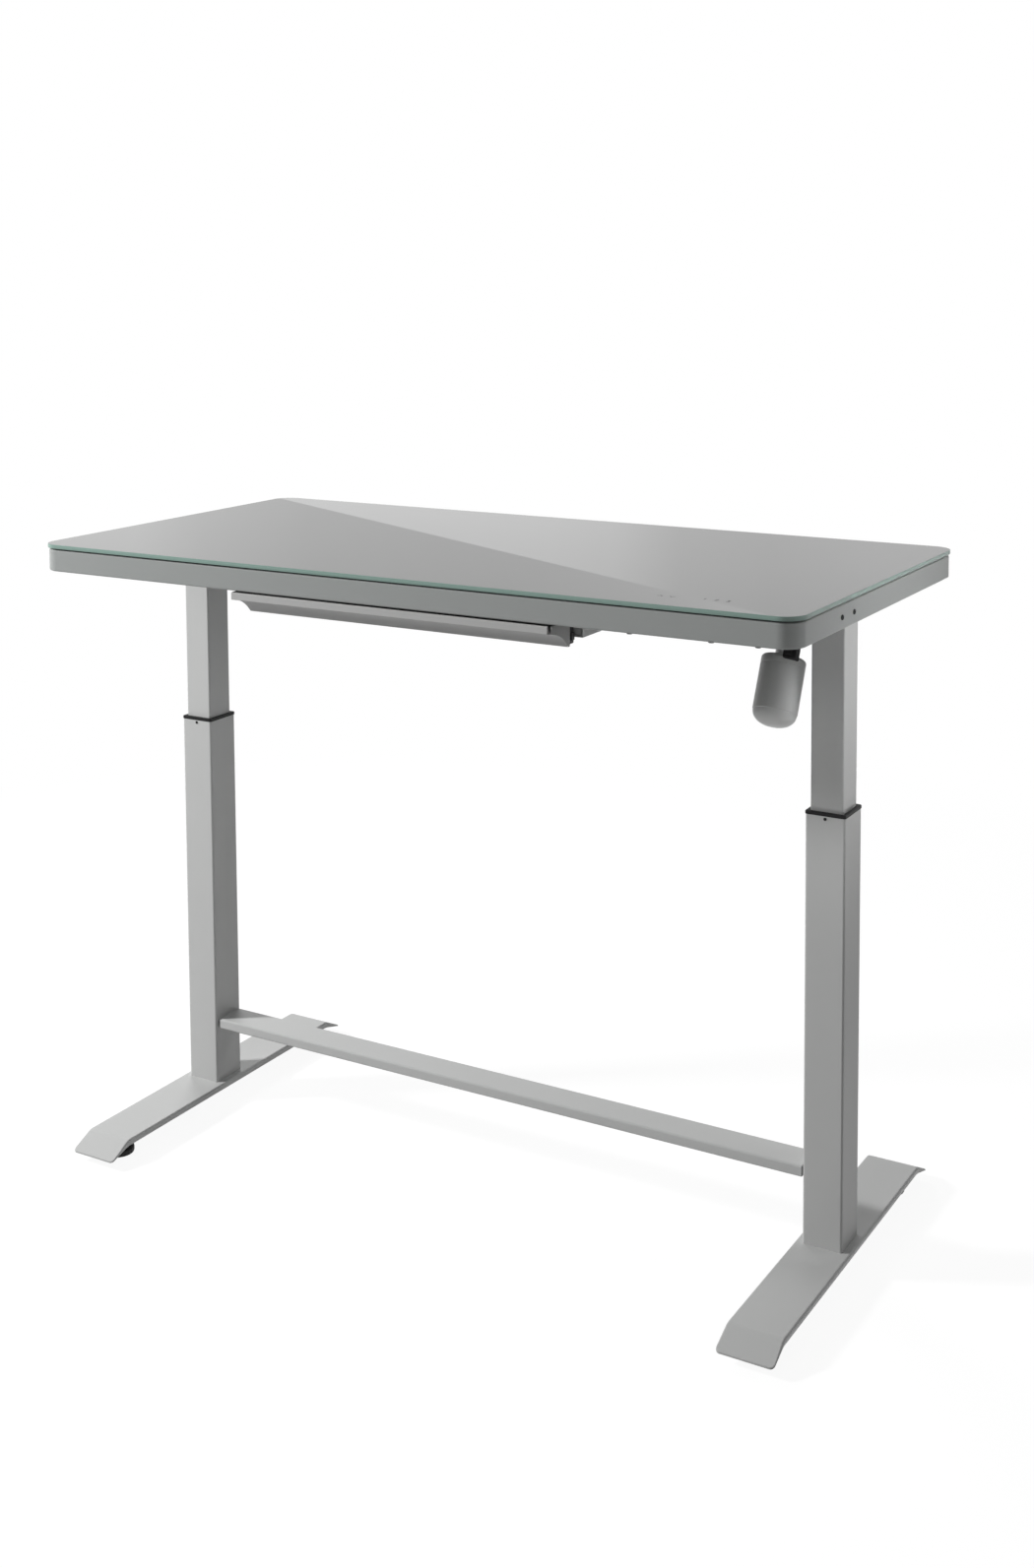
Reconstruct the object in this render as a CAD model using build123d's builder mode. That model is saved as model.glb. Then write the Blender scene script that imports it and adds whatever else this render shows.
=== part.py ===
from build123d import *
from math import cos, radians, sin, tan
import os

os.makedirs("parts", exist_ok=True)

# Desk top, in millimetres, with the floor at Z = 0 and the front towards -Y
top_width = 1200.0
top_depth = 600.0
top_corner = 30.0
glass_thickness = 6.0
glass_overhang = 2.0
tape_thickness = 1.8
tape_width = 12.0
tape_inset = 3.0
apron_height = 32.4
sheet = 1.5
return_flange = 14.0

# Legs: a narrow column slides inside a wide one that stands on the foot
leg_inset = 68.5
outer_column_x = 56.0
outer_column_y = 61.0
outer_column_length = 595.0
outer_wall = 1.5
outer_corner = 3.0
inner_column_x = 46.0
inner_column_y = 51.0
inner_column_length = 664.9
inner_wall = 2.0
inner_corner = 2.5
exposed_length = 276.0
lift_down = 220.0
lift_up = 260.0
base_plate = 5.0
head_plate_x = 76.0
head_plate_y = 110.0
head_plate_thickness = 4.0
collar_rim = 3.4
collar_skirt = 40.0
shoe_height = 40.0
slide_gap = 0.3
fit_gap = 0.1
running_gap = 0.05

# Feet: a folded sheet with slanted sides and sloping ends
foot_top = 35.0
foot_width = 80.0
foot_flat = 510.0
foot_sheet = 2.5
foot_flange = 10.4
foot_slant = 0.25
flap_run = 37.0
flap_drop = 19.0
flap_shoulder = 6.0
flap_corner = 6.0
leveller_reach = 235.0
leveller_pad = 48.0
leveller_height = 12.0
leveller_edge = 4.0
leveller_stud = 8.0
weld_nut = 18.0
weld_nut_height = 12.0
stud_tip_gap = 0.5

# Crossbar between the legs
bar_bottom = 124.0
bar_depth = 52.0
bar_height = 16.0
bar_wall = 1.5
bar_stop = 7.0
plug_length = 30.0
neck_inset = 4.0
bar_bolt_inset = 15.0
bar_bolt_gap = 28.0

# Lifting drive: one cross shaft turns two spindles through mitre gears
shaft_hex = 8.0
shaft_drop = 21.9
shaft_clearance = 18.0
gear_far = 11.0
gear_near = 5.5
gear_gap = 0.4
hub_diameter = 14.0
hub_length = 13.0
gearbox_height = 34.4
gearbox_below = 19.0
gear_cavity = 26.0
gear_cavity_floor = 12.5
gear_cavity_top = 12.0
journal_diameter = 12.0
spindle_diameter = 16.0
spindle_engaged = 30.0
nut_diameter = 36.0
nut_height = 30.0
nut_drop = 5.0
post_diameter = 28.0
post_bore = 19.0
end_gap = 0.5

# Motor: a round can hangs from its gear head and leans towards the front
motor_offset = 63.5
motor_lean = 25.5
worm_offset = 20.0
can_diameter = 60.0
can_start = 91.0
can_length = 94.0
can_dome = 18.0
can_shoulder = 5.0
neck_diameter = 26.0
head_diameter = 42.0
head_length = 36.0
head_flange_x = 36.0
head_flange_y = 62.0
head_flange_thickness = 3.0
wheel_diameter = 26.0
wheel_width = 12.0
wheel_gap = 1.0
wheel_hub = 16.0
plug_x = 20.0
plug_y = 12.0
plug_height = 12.0
plug_place = (16.0, 18.0)

# Controls
touch_inset_x = 161.0
touch_inset_y = 58.0
touch_x = 120.0
touch_y = 34.0
touch_height = 13.0
touch_gap = 2.0
box_inset = 146.5
box_forward = 95.0
box_x = 110.0
box_y = 80.0
box_height = 26.0
box_corner = 4.0
inlet_x = 3.0
inlet_y = 24.0
inlet_z = 14.0
inlet_bore_y = 18.0
inlet_bore_z = 9.0
inlet_depth = 2.0
ribbon_offset = 30.0
ribbon_width = 14.0
ribbon_thickness = 1.2
lead_diameter = 5.0
lead_share = 0.45
lead_run = 24.0
lead_rise = (-1.0, 6.3, 46.8)
lead_turn = (40.0, 27.0, -15.9)
lead_entry = 23.0
lead_entry_y = 20.0

# Leg brackets under the top
bracket_reach = 41.5
bracket_depth = 340.0
bracket_sheet = 2.0
bracket_height = 28.0
side_screw_y = (-110.0, -152.0)
side_screw_drop = 16.4

# Drawer under the front edge
drawer_inset = 344.0
drawer_offset = 10.0
drawer_cap = 2.5
drawer_setback = 2.5
drawer_lip_height = 10.2
drawer_gap = 2.6
drawer_skin = 2.5
drawer_bottom_drop = 37.0
drawer_step = 6.5
drawer_step_drop = 0.8
drawer_mid_back = 28.5
drawer_mid_drop = 20.6
drawer_toe = 48.0
drawer_back = 53.0
front_flange = 26.0
tray_inset = 8.0
tray_depth = 300.0
tray_wall = 2.0
tray_top_drop = 5.0
tray_floor_drop = 27.5
runner_outset = 10.0
runner_lip = 12.0
runner_length = 325.0
runner_setback = 13.0
runner_height = 22.0
runner_flange = 13.5
rail_side_gap = 1.5
rail_gap = 0.5

# Screws and bolts: head diameter, head height, shank diameter
foot_bolt = (11.0, 4.0, 6.0)
foot_bolt_spread = (36.0, 40.0)
head_bolt = (11.0, 4.0, 6.0)
head_bolt_spread = (60.0, 88.0)
side_screw = (7.0, 1.5, 4.0)
side_screw_length = 9.0
collar_screw = (4.4, 1.0, 3.0)
collar_screw_drop = 5.0
bar_bolt = (9.0, 3.0, 5.0)
bar_bolt_length = 10.0
flange_screw = (8.0, 2.6, 4.0)
flange_screw_inset_x = (227.0, 117.0, 56.0)
flange_screw_inset_y = 11.0

# Levels and places that follow from the dimensions above
leg_x = top_width / 2 - leg_inset
column_top = foot_top + outer_column_length
apron_bottom = column_top + exposed_length
apron_top = apron_bottom + apron_height
plate_under = apron_top - sheet
glass_bottom = apron_top + tape_thickness
tray_x = top_width - 2 * glass_overhang
tray_y = top_depth - 2 * glass_overhang
tray_corner = top_corner - glass_overhang
bore_x = outer_column_x - 2 * outer_wall
bore_y = outer_column_y - 2 * outer_wall
inner_top = plate_under - bracket_sheet - head_plate_thickness
inner_bottom = inner_top - inner_column_length
shaft_z = plate_under - shaft_drop
gearbox_bottom = shaft_z - gearbox_below
spindle_bottom = column_top - nut_drop - nut_height - lift_up - spindle_engaged
side_wall = tray_x / 2 - sheet
bracket_inner = leg_x - bracket_reach
motor_x = leg_x - motor_offset
touch_place = (top_width / 2 - touch_inset_x, touch_inset_y - top_depth / 2)
box_place = (leg_x - box_inset, -box_forward)
drawer_half = top_width / 2 - drawer_inset
tray_half = drawer_half - tray_inset
runner_half = drawer_half + runner_outset
runner_reach = runner_half - runner_lip
rail_half = runner_half - rail_side_gap
drawer_lip_y = drawer_setback - top_depth / 2
drawer_back_y = drawer_lip_y + drawer_back
runner_start = drawer_back_y + runner_setback
sides = (("left", -1), ("right", 1))


def save(piece, name):
    piece.part.label = name
    export_step(piece.part, f"parts/{name}.step")


def leg_plane(side, level):
    """Level plane centred on one leg."""
    return Plane((side * leg_x, 0, level))


def across(x, level=0.0):
    """Upright plane at one X, drawn in Y and Z."""
    return Plane((x, 0, level), x_dir=(0, 1, 0), z_dir=(1, 0, 0))


def along(x):
    """Upright plane from one X on the desk's centre line, drawn in X and Z."""
    return Plane((x, 0, 0), x_dir=(1, 0, 0), z_dir=(0, -1, 0))


# Glass top, the tape that bonds it, and the folded tray under it
with BuildPart() as glass_top:
    with BuildSketch(Plane.XY.offset(glass_bottom)):
        RectangleRounded(top_width, top_depth, top_corner)
    extrude(amount=glass_thickness)
save(glass_top, "glass_top")

with BuildPart() as bonding_tape:
    tape_x = tray_x - 2 * tape_inset
    tape_y = tray_y - 2 * tape_inset
    with BuildSketch(Plane.XY.offset(apron_top)):
        RectangleRounded(tape_x, tape_y, tray_corner - tape_inset)
        RectangleRounded(
            tape_x - 2 * tape_width,
            tape_y - 2 * tape_width,
            tray_corner - tape_inset - tape_width,
            mode=Mode.SUBTRACT,
        )
    extrude(amount=tape_thickness)
save(bonding_tape, "bonding_tape")

side_screw_z = apron_top - side_screw_drop
side_screw_spots = [(y, side_screw_z) for y in side_screw_y]
flange_screw_spots = [
    (top_width / 2 - x, flange_screw_inset_y - tray_y / 2) for x in flange_screw_inset_x
]

with BuildPart() as desk_tray:
    with BuildSketch(Plane.XY.offset(apron_bottom)):
        RectangleRounded(tray_x, tray_y, tray_corner)
    extrude(amount=apron_height)
    with BuildSketch(Plane.XY.offset(apron_bottom)):
        RectangleRounded(tray_x - 2 * sheet, tray_y - 2 * sheet, tray_corner - sheet)
    extrude(amount=apron_height - sheet, mode=Mode.SUBTRACT)
    with BuildSketch(Plane.XY.offset(apron_bottom)):
        RectangleRounded(tray_x - 2 * sheet, tray_y - 2 * sheet, tray_corner - sheet)
        inner_edge = sheet + return_flange
        RectangleRounded(
            tray_x - 2 * inner_edge,
            tray_y - 2 * inner_edge,
            tray_corner - inner_edge,
            mode=Mode.SUBTRACT,
        )
    extrude(amount=sheet)
    with BuildSketch(Plane.XY.offset(plate_under)):
        with Locations(touch_place):
            Rectangle(touch_x + 2 * touch_gap, touch_y + 2 * touch_gap)
    extrude(amount=sheet, mode=Mode.SUBTRACT)
    with BuildSketch(across(-tray_x / 2)):
        with Locations(side_screw_spots):
            Circle(side_screw[2] / 2)
    extrude(amount=tray_x, mode=Mode.SUBTRACT)
    with BuildSketch(Plane.XY.offset(apron_bottom)):
        with Locations(flange_screw_spots):
            Circle(flange_screw[2] / 2)
    extrude(amount=sheet, mode=Mode.SUBTRACT)
save(desk_tray, "desk_tray")

with BuildPart() as flange_screws:
    with BuildSketch(Plane.XY.offset(apron_bottom)):
        with Locations(flange_screw_spots):
            Circle(flange_screw[0] / 2)
    extrude(amount=-flange_screw[1])
    with BuildSketch(Plane.XY.offset(apron_bottom)):
        with Locations(flange_screw_spots):
            Circle(flange_screw[2] / 2)
    extrude(amount=2 * sheet)
save(flange_screws, "flange_screws")

# Each leg, from the foot up to the bracket under the top
foot_length = foot_flat + 2 * flap_run
flap_slope = flap_drop / flap_run
flap_skin = foot_sheet * (1 + flap_slope**2) ** 0.5
half_flat = foot_flat / 2
half_foot = foot_length / 2
tip_z = foot_top - flap_drop
inner_bend = half_flat - (flap_skin - foot_sheet) / flap_slope
leveller_spots = [(0, -leveller_reach), (0, leveller_reach)]
foot_bolt_spots = [
    (i * foot_bolt_spread[0] / 2, j * foot_bolt_spread[1] / 2) for i in (-1, 1) for j in (-1, 1)
]
head_bolt_spots = [
    (i * head_bolt_spread[0] / 2, j * head_bolt_spread[1] / 2) for i in (-1, 1) for j in (-1, 1)
]

for end, side in sides:
    with BuildPart() as foot_core:
        with BuildSketch(across(side * leg_x)):
            Polygon(
                (-inner_bend, foot_top - foot_sheet),
                (inner_bend, foot_top - foot_sheet),
                (half_foot, tip_z - flap_skin),
                (half_foot, 0),
                (-half_foot, 0),
                (-half_foot, tip_z - flap_skin),
                align=None,
            )
        extrude(amount=foot_width / 2, both=True)
        with BuildSketch(along(side * leg_x)):
            core_top = foot_width / 2 - foot_sheet
            core_foot = core_top - foot_slant * foot_top
            Polygon(
                (-core_foot, 0),
                (core_foot, 0),
                (core_top, foot_top),
                (-core_top, foot_top),
                align=None,
            )
        extrude(amount=half_foot, both=True, mode=Mode.INTERSECT)

    with BuildPart() as foot:
        with BuildSketch(across(side * leg_x)):
            Polygon(
                (-half_foot, tip_z),
                (-half_flat, foot_top),
                (half_flat, foot_top),
                (half_foot, tip_z),
                (half_foot, tip_z - flap_skin),
                (half_flat + flap_shoulder, foot_top - foot_flange),
                (-half_flat - flap_shoulder, foot_top - foot_flange),
                (-half_foot, tip_z - flap_skin),
                align=None,
            )
        extrude(amount=foot_width / 2, both=True)
        with BuildSketch(along(side * leg_x)):
            half_top = foot_width / 2
            half_bottom = half_top - foot_slant * foot_top
            Polygon(
                (-half_bottom, 0),
                (half_bottom, 0),
                (half_top, foot_top),
                (-half_top, foot_top),
                align=None,
            )
        extrude(amount=half_foot, both=True, mode=Mode.INTERSECT)
        with BuildSketch(leg_plane(side, 0)):
            RectangleRounded(foot_width, foot_length, flap_corner)
        extrude(amount=foot_top, mode=Mode.INTERSECT)
        add(foot_core.part, mode=Mode.SUBTRACT)
        with BuildSketch(leg_plane(side, foot_top - foot_sheet)):
            with Locations(leveller_spots):
                Circle(weld_nut / 2)
        extrude(amount=-weld_nut_height)
        with BuildSketch(leg_plane(side, foot_top - foot_sheet)):
            with Locations(leveller_spots):
                Circle(leveller_stud / 2 + running_gap)
        extrude(amount=-weld_nut_height, mode=Mode.SUBTRACT)
        with BuildSketch(leg_plane(side, foot_top)):
            with Locations(foot_bolt_spots):
                Circle(foot_bolt[2] / 2)
        extrude(amount=-foot_sheet, mode=Mode.SUBTRACT)
    save(foot, f"foot_{end}")

    for row, reach in (("front", -leveller_reach), ("rear", leveller_reach)):
        with BuildPart() as levelling_foot:
            with BuildSketch(Plane((side * leg_x, reach, 0))):
                Circle(leveller_pad / 2)
            extrude(amount=leveller_height)
            chamfer(levelling_foot.edges().group_by(Axis.Z)[-1], leveller_edge)
            with BuildSketch(Plane((side * leg_x, reach, leveller_height))):
                Circle(leveller_stud / 2)
            extrude(amount=foot_top - foot_sheet - stud_tip_gap - leveller_height)
        save(levelling_foot, f"levelling_foot_{row}_{end}")

    with BuildPart() as outer_column:
        with BuildSketch(leg_plane(side, foot_top)):
            RectangleRounded(outer_column_x, outer_column_y, outer_corner)
            RectangleRounded(bore_x, bore_y, outer_corner - outer_wall, mode=Mode.SUBTRACT)
        extrude(amount=outer_column_length)
        with BuildSketch(leg_plane(side, foot_top)):
            RectangleRounded(bore_x, bore_y, outer_corner - outer_wall)
            with Locations(foot_bolt_spots):
                Circle(foot_bolt[2] / 2, mode=Mode.SUBTRACT)
        extrude(amount=base_plate)
        with BuildSketch(along(side * leg_x)):
            with Locations((0, column_top - collar_screw_drop)):
                Circle(collar_screw[2] / 2)
        extrude(amount=outer_column_y, mode=Mode.SUBTRACT)
    save(outer_column, f"outer_column_{end}")

    with BuildPart() as collar:
        with BuildSketch(leg_plane(side, column_top)):
            RectangleRounded(outer_column_x, outer_column_y, outer_corner)
        extrude(amount=collar_rim)
        with BuildSketch(leg_plane(side, column_top)):
            RectangleRounded(bore_x - 2 * fit_gap, bore_y - 2 * fit_gap, outer_corner - outer_wall)
        extrude(amount=-collar_skirt)
        with BuildSketch(leg_plane(side, column_top - collar_skirt)):
            RectangleRounded(
                inner_column_x + 2 * slide_gap,
                inner_column_y + 2 * slide_gap,
                inner_corner + slide_gap,
            )
        extrude(amount=collar_skirt + collar_rim, mode=Mode.SUBTRACT)
        with BuildSketch(along(side * leg_x)):
            with Locations((0, column_top - collar_screw_drop)):
                Circle(collar_screw[2] / 2)
        extrude(amount=outer_column_y, mode=Mode.SUBTRACT)
    save(collar, f"collar_{end}")

    with BuildPart() as nut_post:
        post_top = column_top - nut_drop - nut_height
        with BuildSketch(leg_plane(side, foot_top + base_plate)):
            Circle(post_diameter / 2)
            Circle(post_bore / 2, mode=Mode.SUBTRACT)
        extrude(amount=post_top - foot_top - base_plate)
    save(nut_post, f"nut_post_{end}")

    with BuildPart() as spindle_nut:
        with BuildSketch(leg_plane(side, post_top)):
            Circle(nut_diameter / 2)
            Circle(spindle_diameter / 2 + running_gap, mode=Mode.SUBTRACT)
        extrude(amount=nut_height)
    save(spindle_nut, f"spindle_nut_{end}")

    with BuildPart() as inner_column:
        with BuildSketch(leg_plane(side, inner_bottom)):
            RectangleRounded(inner_column_x, inner_column_y, inner_corner)
            RectangleRounded(
                inner_column_x - 2 * inner_wall,
                inner_column_y - 2 * inner_wall,
                inner_corner - inner_wall,
                mode=Mode.SUBTRACT,
            )
        extrude(amount=inner_column_length)
        with BuildSketch(leg_plane(side, inner_top)):
            Rectangle(head_plate_x, head_plate_y)
            with Locations(head_bolt_spots):
                Circle(head_bolt[2] / 2, mode=Mode.SUBTRACT)
        extrude(amount=head_plate_thickness)
        with BuildSketch(across(side * leg_x, shaft_z)):
            Circle(shaft_clearance / 2)
        extrude(amount=-side * inner_column_x, mode=Mode.SUBTRACT)
    save(inner_column, f"inner_column_{end}")

    with BuildPart() as glide_shoe:
        with BuildSketch(leg_plane(side, inner_bottom)):
            RectangleRounded(
                bore_x - 2 * slide_gap,
                bore_y - 2 * slide_gap,
                outer_corner - outer_wall,
            )
            RectangleRounded(inner_column_x, inner_column_y, inner_corner, mode=Mode.SUBTRACT)
        extrude(amount=shoe_height)
    save(glide_shoe, f"glide_shoe_{end}")

    with BuildPart() as leg_bracket:
        bracket_x = side_wall - bracket_inner
        bracket_mid = side * (side_wall + bracket_inner) / 2
        with BuildSketch(Plane((bracket_mid, 0, plate_under))):
            Rectangle(bracket_x, bracket_depth)
        extrude(amount=-bracket_height)
        with BuildSketch(Plane((bracket_mid, 0, plate_under - bracket_sheet))):
            Rectangle(bracket_x - 2 * bracket_sheet, bracket_depth)
        extrude(amount=bracket_sheet - bracket_height, mode=Mode.SUBTRACT)
        with BuildSketch(Plane((side * leg_x, 0, plate_under))):
            with Locations(head_bolt_spots):
                Circle(head_bolt[2] / 2)
        extrude(amount=-bracket_sheet, mode=Mode.SUBTRACT)
        with BuildSketch(across(side * bracket_inner, shaft_z)):
            Circle(shaft_clearance / 2)
        extrude(amount=side * bracket_sheet, mode=Mode.SUBTRACT)
        with BuildSketch(across(side * side_wall)):
            with Locations(side_screw_spots):
                Circle(side_screw[2] / 2)
        extrude(amount=-side * bracket_sheet, mode=Mode.SUBTRACT)
    save(leg_bracket, f"leg_bracket_{end}")

    # The gearbox fills the head of the inner column
    with BuildPart() as gearbox:
        with BuildSketch(leg_plane(side, gearbox_bottom)):
            RectangleRounded(
                inner_column_x - 2 * inner_wall - 2 * fit_gap,
                inner_column_y - 2 * inner_wall - 2 * fit_gap,
                inner_corner - inner_wall + fit_gap,
            )
        extrude(amount=gearbox_height)
        with BuildSketch(leg_plane(side, shaft_z - gear_cavity_floor)):
            Rectangle(gear_cavity, gear_cavity)
        extrude(amount=gear_cavity_floor + gear_cavity_top, mode=Mode.SUBTRACT)
        with BuildSketch(leg_plane(side, gearbox_bottom)):
            Circle(journal_diameter / 2 + running_gap)
        extrude(amount=gearbox_below, mode=Mode.SUBTRACT)
        with BuildSketch(across(side * leg_x, shaft_z)):
            Circle(hub_diameter / 2 + running_gap)
        extrude(amount=-side * inner_column_x, mode=Mode.SUBTRACT)
    save(gearbox, f"gearbox_{end}")

    with BuildPart() as spindle:
        with BuildSketch(leg_plane(side, spindle_bottom)):
            Circle(spindle_diameter / 2)
        extrude(amount=gearbox_bottom - end_gap - spindle_bottom)
        with BuildSketch(leg_plane(side, gearbox_bottom - end_gap)):
            Circle(journal_diameter / 2)
        extrude(amount=shaft_z - gear_far - gearbox_bottom + end_gap)
    save(spindle, f"spindle_{end}")

    gear_wide = gear_far - gear_gap
    gear_narrow = gear_near - gear_gap
    with BuildPart() as spindle_gear:
        with BuildSketch(Plane((side * leg_x, 0, shaft_z), x_dir=(1, 0, 0), z_dir=(0, -1, 0))):
            Polygon(
                (0, -gear_far),
                (gear_wide, -gear_far),
                (gear_narrow, -gear_near),
                (0, -gear_near),
                align=None,
            )
        revolve(axis=Axis((side * leg_x, 0, 0), (0, 0, 1)))
    save(spindle_gear, f"spindle_gear_{end}")

    with BuildPart() as shaft_gear:
        with BuildSketch(Plane((side * leg_x, 0, shaft_z), x_dir=(-side, 0, 0), z_dir=(0, side, 0))):
            Polygon(
                (gear_far + hub_length, 0),
                (gear_far + hub_length, hub_diameter / 2),
                (gear_far, hub_diameter / 2),
                (gear_far, gear_wide),
                (gear_near, gear_narrow),
                (gear_near, 0),
                align=None,
            )
        revolve(axis=Axis((0, 0, shaft_z), (1, 0, 0)))
        with BuildSketch(across(side * (leg_x - gear_near), shaft_z)):
            RegularPolygon(shaft_hex / 2, 6, major_radius=False)
        extrude(amount=-side * (gear_far + hub_length), mode=Mode.SUBTRACT)
    save(shaft_gear, f"shaft_gear_{end}")

    with BuildPart() as crossbar_bracket:
        column_face = leg_x - outer_column_x / 2
        with BuildSketch(across(side * column_face, bar_bottom + bar_height / 2)):
            Rectangle(bar_depth - 2 * neck_inset, bar_height - 2 * bar_wall)
        extrude(amount=-side * bar_stop)
        with BuildSketch(across(side * (column_face - bar_stop), bar_bottom + bar_height / 2)):
            Rectangle(bar_depth - 2 * bar_wall, bar_height - 2 * bar_wall)
        extrude(amount=-side * plug_length)
        with BuildSketch(Plane((side * (column_face - bar_stop - bar_bolt_inset), 0, bar_bottom))):
            with GridLocations(0, bar_bolt_gap, 1, 2):
                Circle(bar_bolt[2] / 2)
        extrude(amount=bar_bolt_length, mode=Mode.SUBTRACT)
    save(crossbar_bracket, f"crossbar_bracket_{end}")

# Crossbar and the bolts that hold it on its brackets
bar_half = column_face - bar_stop
bar_bolt_places = GridLocations(2 * (bar_half - bar_bolt_inset), bar_bolt_gap, 2, 2).locations
with BuildPart() as crossbar:
    with BuildSketch(across(-bar_half, bar_bottom + bar_height / 2)):
        RectangleRounded(bar_depth, bar_height, outer_corner)
        Rectangle(bar_depth - 2 * bar_wall, bar_height - 2 * bar_wall, mode=Mode.SUBTRACT)
    extrude(amount=2 * bar_half)
    with BuildSketch(Plane.XY.offset(bar_bottom)):
        with Locations(bar_bolt_places):
            Circle(bar_bolt[2] / 2)
    extrude(amount=bar_wall, mode=Mode.SUBTRACT)
save(crossbar, "crossbar")

with BuildPart() as crossbar_bolts:
    with BuildSketch(Plane.XY.offset(bar_bottom)):
        with Locations(bar_bolt_places):
            Circle(bar_bolt[0] / 2)
    extrude(amount=-bar_bolt[1])
    with BuildSketch(Plane.XY.offset(bar_bottom)):
        with Locations(bar_bolt_places):
            Circle(bar_bolt[2] / 2)
    extrude(amount=bar_bolt_length)
save(crossbar_bolts, "crossbar_bolts")

# Fasteners of both legs, each kind in one group
foot_bolt_places = [(side * leg_x + x, y) for end, side in sides for x, y in foot_bolt_spots]
head_bolt_places = [(side * leg_x + x, y) for end, side in sides for x, y in head_bolt_spots]

with BuildPart() as foot_bolts:
    with BuildSketch(Plane.XY.offset(foot_top - foot_sheet)):
        with Locations(foot_bolt_places):
            Circle(foot_bolt[0] / 2)
    extrude(amount=-foot_bolt[1])
    with BuildSketch(Plane.XY.offset(foot_top - foot_sheet)):
        with Locations(foot_bolt_places):
            Circle(foot_bolt[2] / 2)
    extrude(amount=foot_sheet + base_plate)
save(foot_bolts, "foot_bolts")

with BuildPart() as head_bolts:
    with BuildSketch(Plane.XY.offset(inner_top)):
        with Locations(head_bolt_places):
            Circle(head_bolt[0] / 2)
    extrude(amount=-head_bolt[1])
    with BuildSketch(Plane.XY.offset(inner_top)):
        with Locations(head_bolt_places):
            Circle(head_bolt[2] / 2)
    extrude(amount=head_plate_thickness + bracket_sheet)
save(head_bolts, "head_bolts")

with BuildPart() as side_screws:
    for end, side in sides:
        with BuildSketch(across(side * tray_x / 2)):
            with Locations(side_screw_spots):
                Circle(side_screw[0] / 2)
        extrude(amount=side * side_screw[1])
        with BuildSketch(across(side * tray_x / 2)):
            with Locations(side_screw_spots):
                Circle(side_screw[2] / 2)
        extrude(amount=-side * side_screw_length)
save(side_screws, "side_screws")

with BuildPart() as collar_screws:
    collar_screw_places = [(side * leg_x, column_top - collar_screw_drop) for end, side in sides]
    with BuildSketch(Plane.XZ.offset(outer_column_y / 2)):
        with Locations(collar_screw_places):
            Circle(collar_screw[0] / 2)
    extrude(amount=collar_screw[1])
    with BuildSketch(Plane.XZ.offset(outer_column_y / 2)):
        with Locations(collar_screw_places):
            Circle(collar_screw[2] / 2)
    extrude(amount=-(outer_column_y - inner_column_y) / 2 + slide_gap)
save(collar_screws, "collar_screws")

# Cross shaft with the worm wheel that the motor turns
with BuildPart() as cross_shaft:
    with BuildSketch(across(gear_near - leg_x, shaft_z)):
        RegularPolygon(shaft_hex / 2, 6, major_radius=False)
    extrude(amount=2 * (leg_x - gear_near))
save(cross_shaft, "cross_shaft")

with BuildPart() as worm_wheel:
    with BuildSketch(across(motor_x, shaft_z)):
        Circle(wheel_diameter / 2)
    extrude(amount=wheel_width / 2, both=True)
    with BuildSketch(across(motor_x, shaft_z)):
        Circle(wheel_hub / 2)
    extrude(amount=head_length / 2, both=True)
    with BuildSketch(across(motor_x, shaft_z)):
        RegularPolygon(shaft_hex / 2, 6, major_radius=False)
    extrude(amount=head_length / 2, both=True, mode=Mode.SUBTRACT)
save(worm_wheel, "worm_wheel")

# Motor can, gear head and plug along one leaning axis
lean = radians(motor_lean)
motor_plane = Plane(
    (motor_x, worm_offset, shaft_z),
    x_dir=(1, 0, 0),
    z_dir=(0, -sin(lean), -cos(lean)),
)

with BuildPart() as motor_can:
    with BuildSketch(motor_plane.offset(can_start)):
        Circle(can_diameter / 2)
    extrude(amount=can_length)
    rims = motor_can.edges().sort_by(Axis.Z)
    fillet(rims[0], can_dome)
    fillet(motor_can.edges().sort_by(Axis.Z)[-1], can_shoulder)
save(motor_can, "motor_can")

with BuildPart() as motor_gear_head:
    with BuildSketch(motor_plane):
        Circle(neck_diameter / 2)
    extrude(amount=can_start)
    with BuildSketch(across(motor_x, shaft_z)):
        Circle(head_diameter / 2)
    extrude(amount=head_length / 2, both=True)
    with BuildSketch(Plane((motor_x, 0, plate_under))):
        Rectangle(head_flange_x, head_flange_y)
    extrude(amount=-head_flange_thickness)
    with BuildSketch(across(motor_x, shaft_z)):
        Circle(wheel_diameter / 2 + wheel_gap)
    extrude(amount=wheel_width / 2 + wheel_gap, both=True, mode=Mode.SUBTRACT)
    with BuildSketch(across(motor_x, shaft_z)):
        Circle(wheel_hub / 2 + running_gap)
    extrude(amount=head_length / 2, both=True, mode=Mode.SUBTRACT)
save(motor_gear_head, "motor_gear_head")

with BuildPart() as motor_plug:
    with BuildSketch(motor_plane.offset(can_start)):
        with Locations(plug_place):
            Rectangle(plug_x, plug_y)
    extrude(amount=-plug_height)
save(motor_plug, "motor_plug")

# Touch panel under the glass, control box, and the leads between them
with BuildPart() as touch_panel:
    with BuildSketch(Plane.XY.offset(glass_bottom)):
        with Locations(touch_place):
            Rectangle(touch_x, touch_y)
    extrude(amount=-touch_height)
save(touch_panel, "touch_panel")

with BuildPart() as control_box:
    with BuildSketch(Plane.XY.offset(plate_under)):
        with Locations(box_place):
            RectangleRounded(box_x, box_y, box_corner)
    extrude(amount=-box_height)
save(control_box, "control_box")

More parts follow.
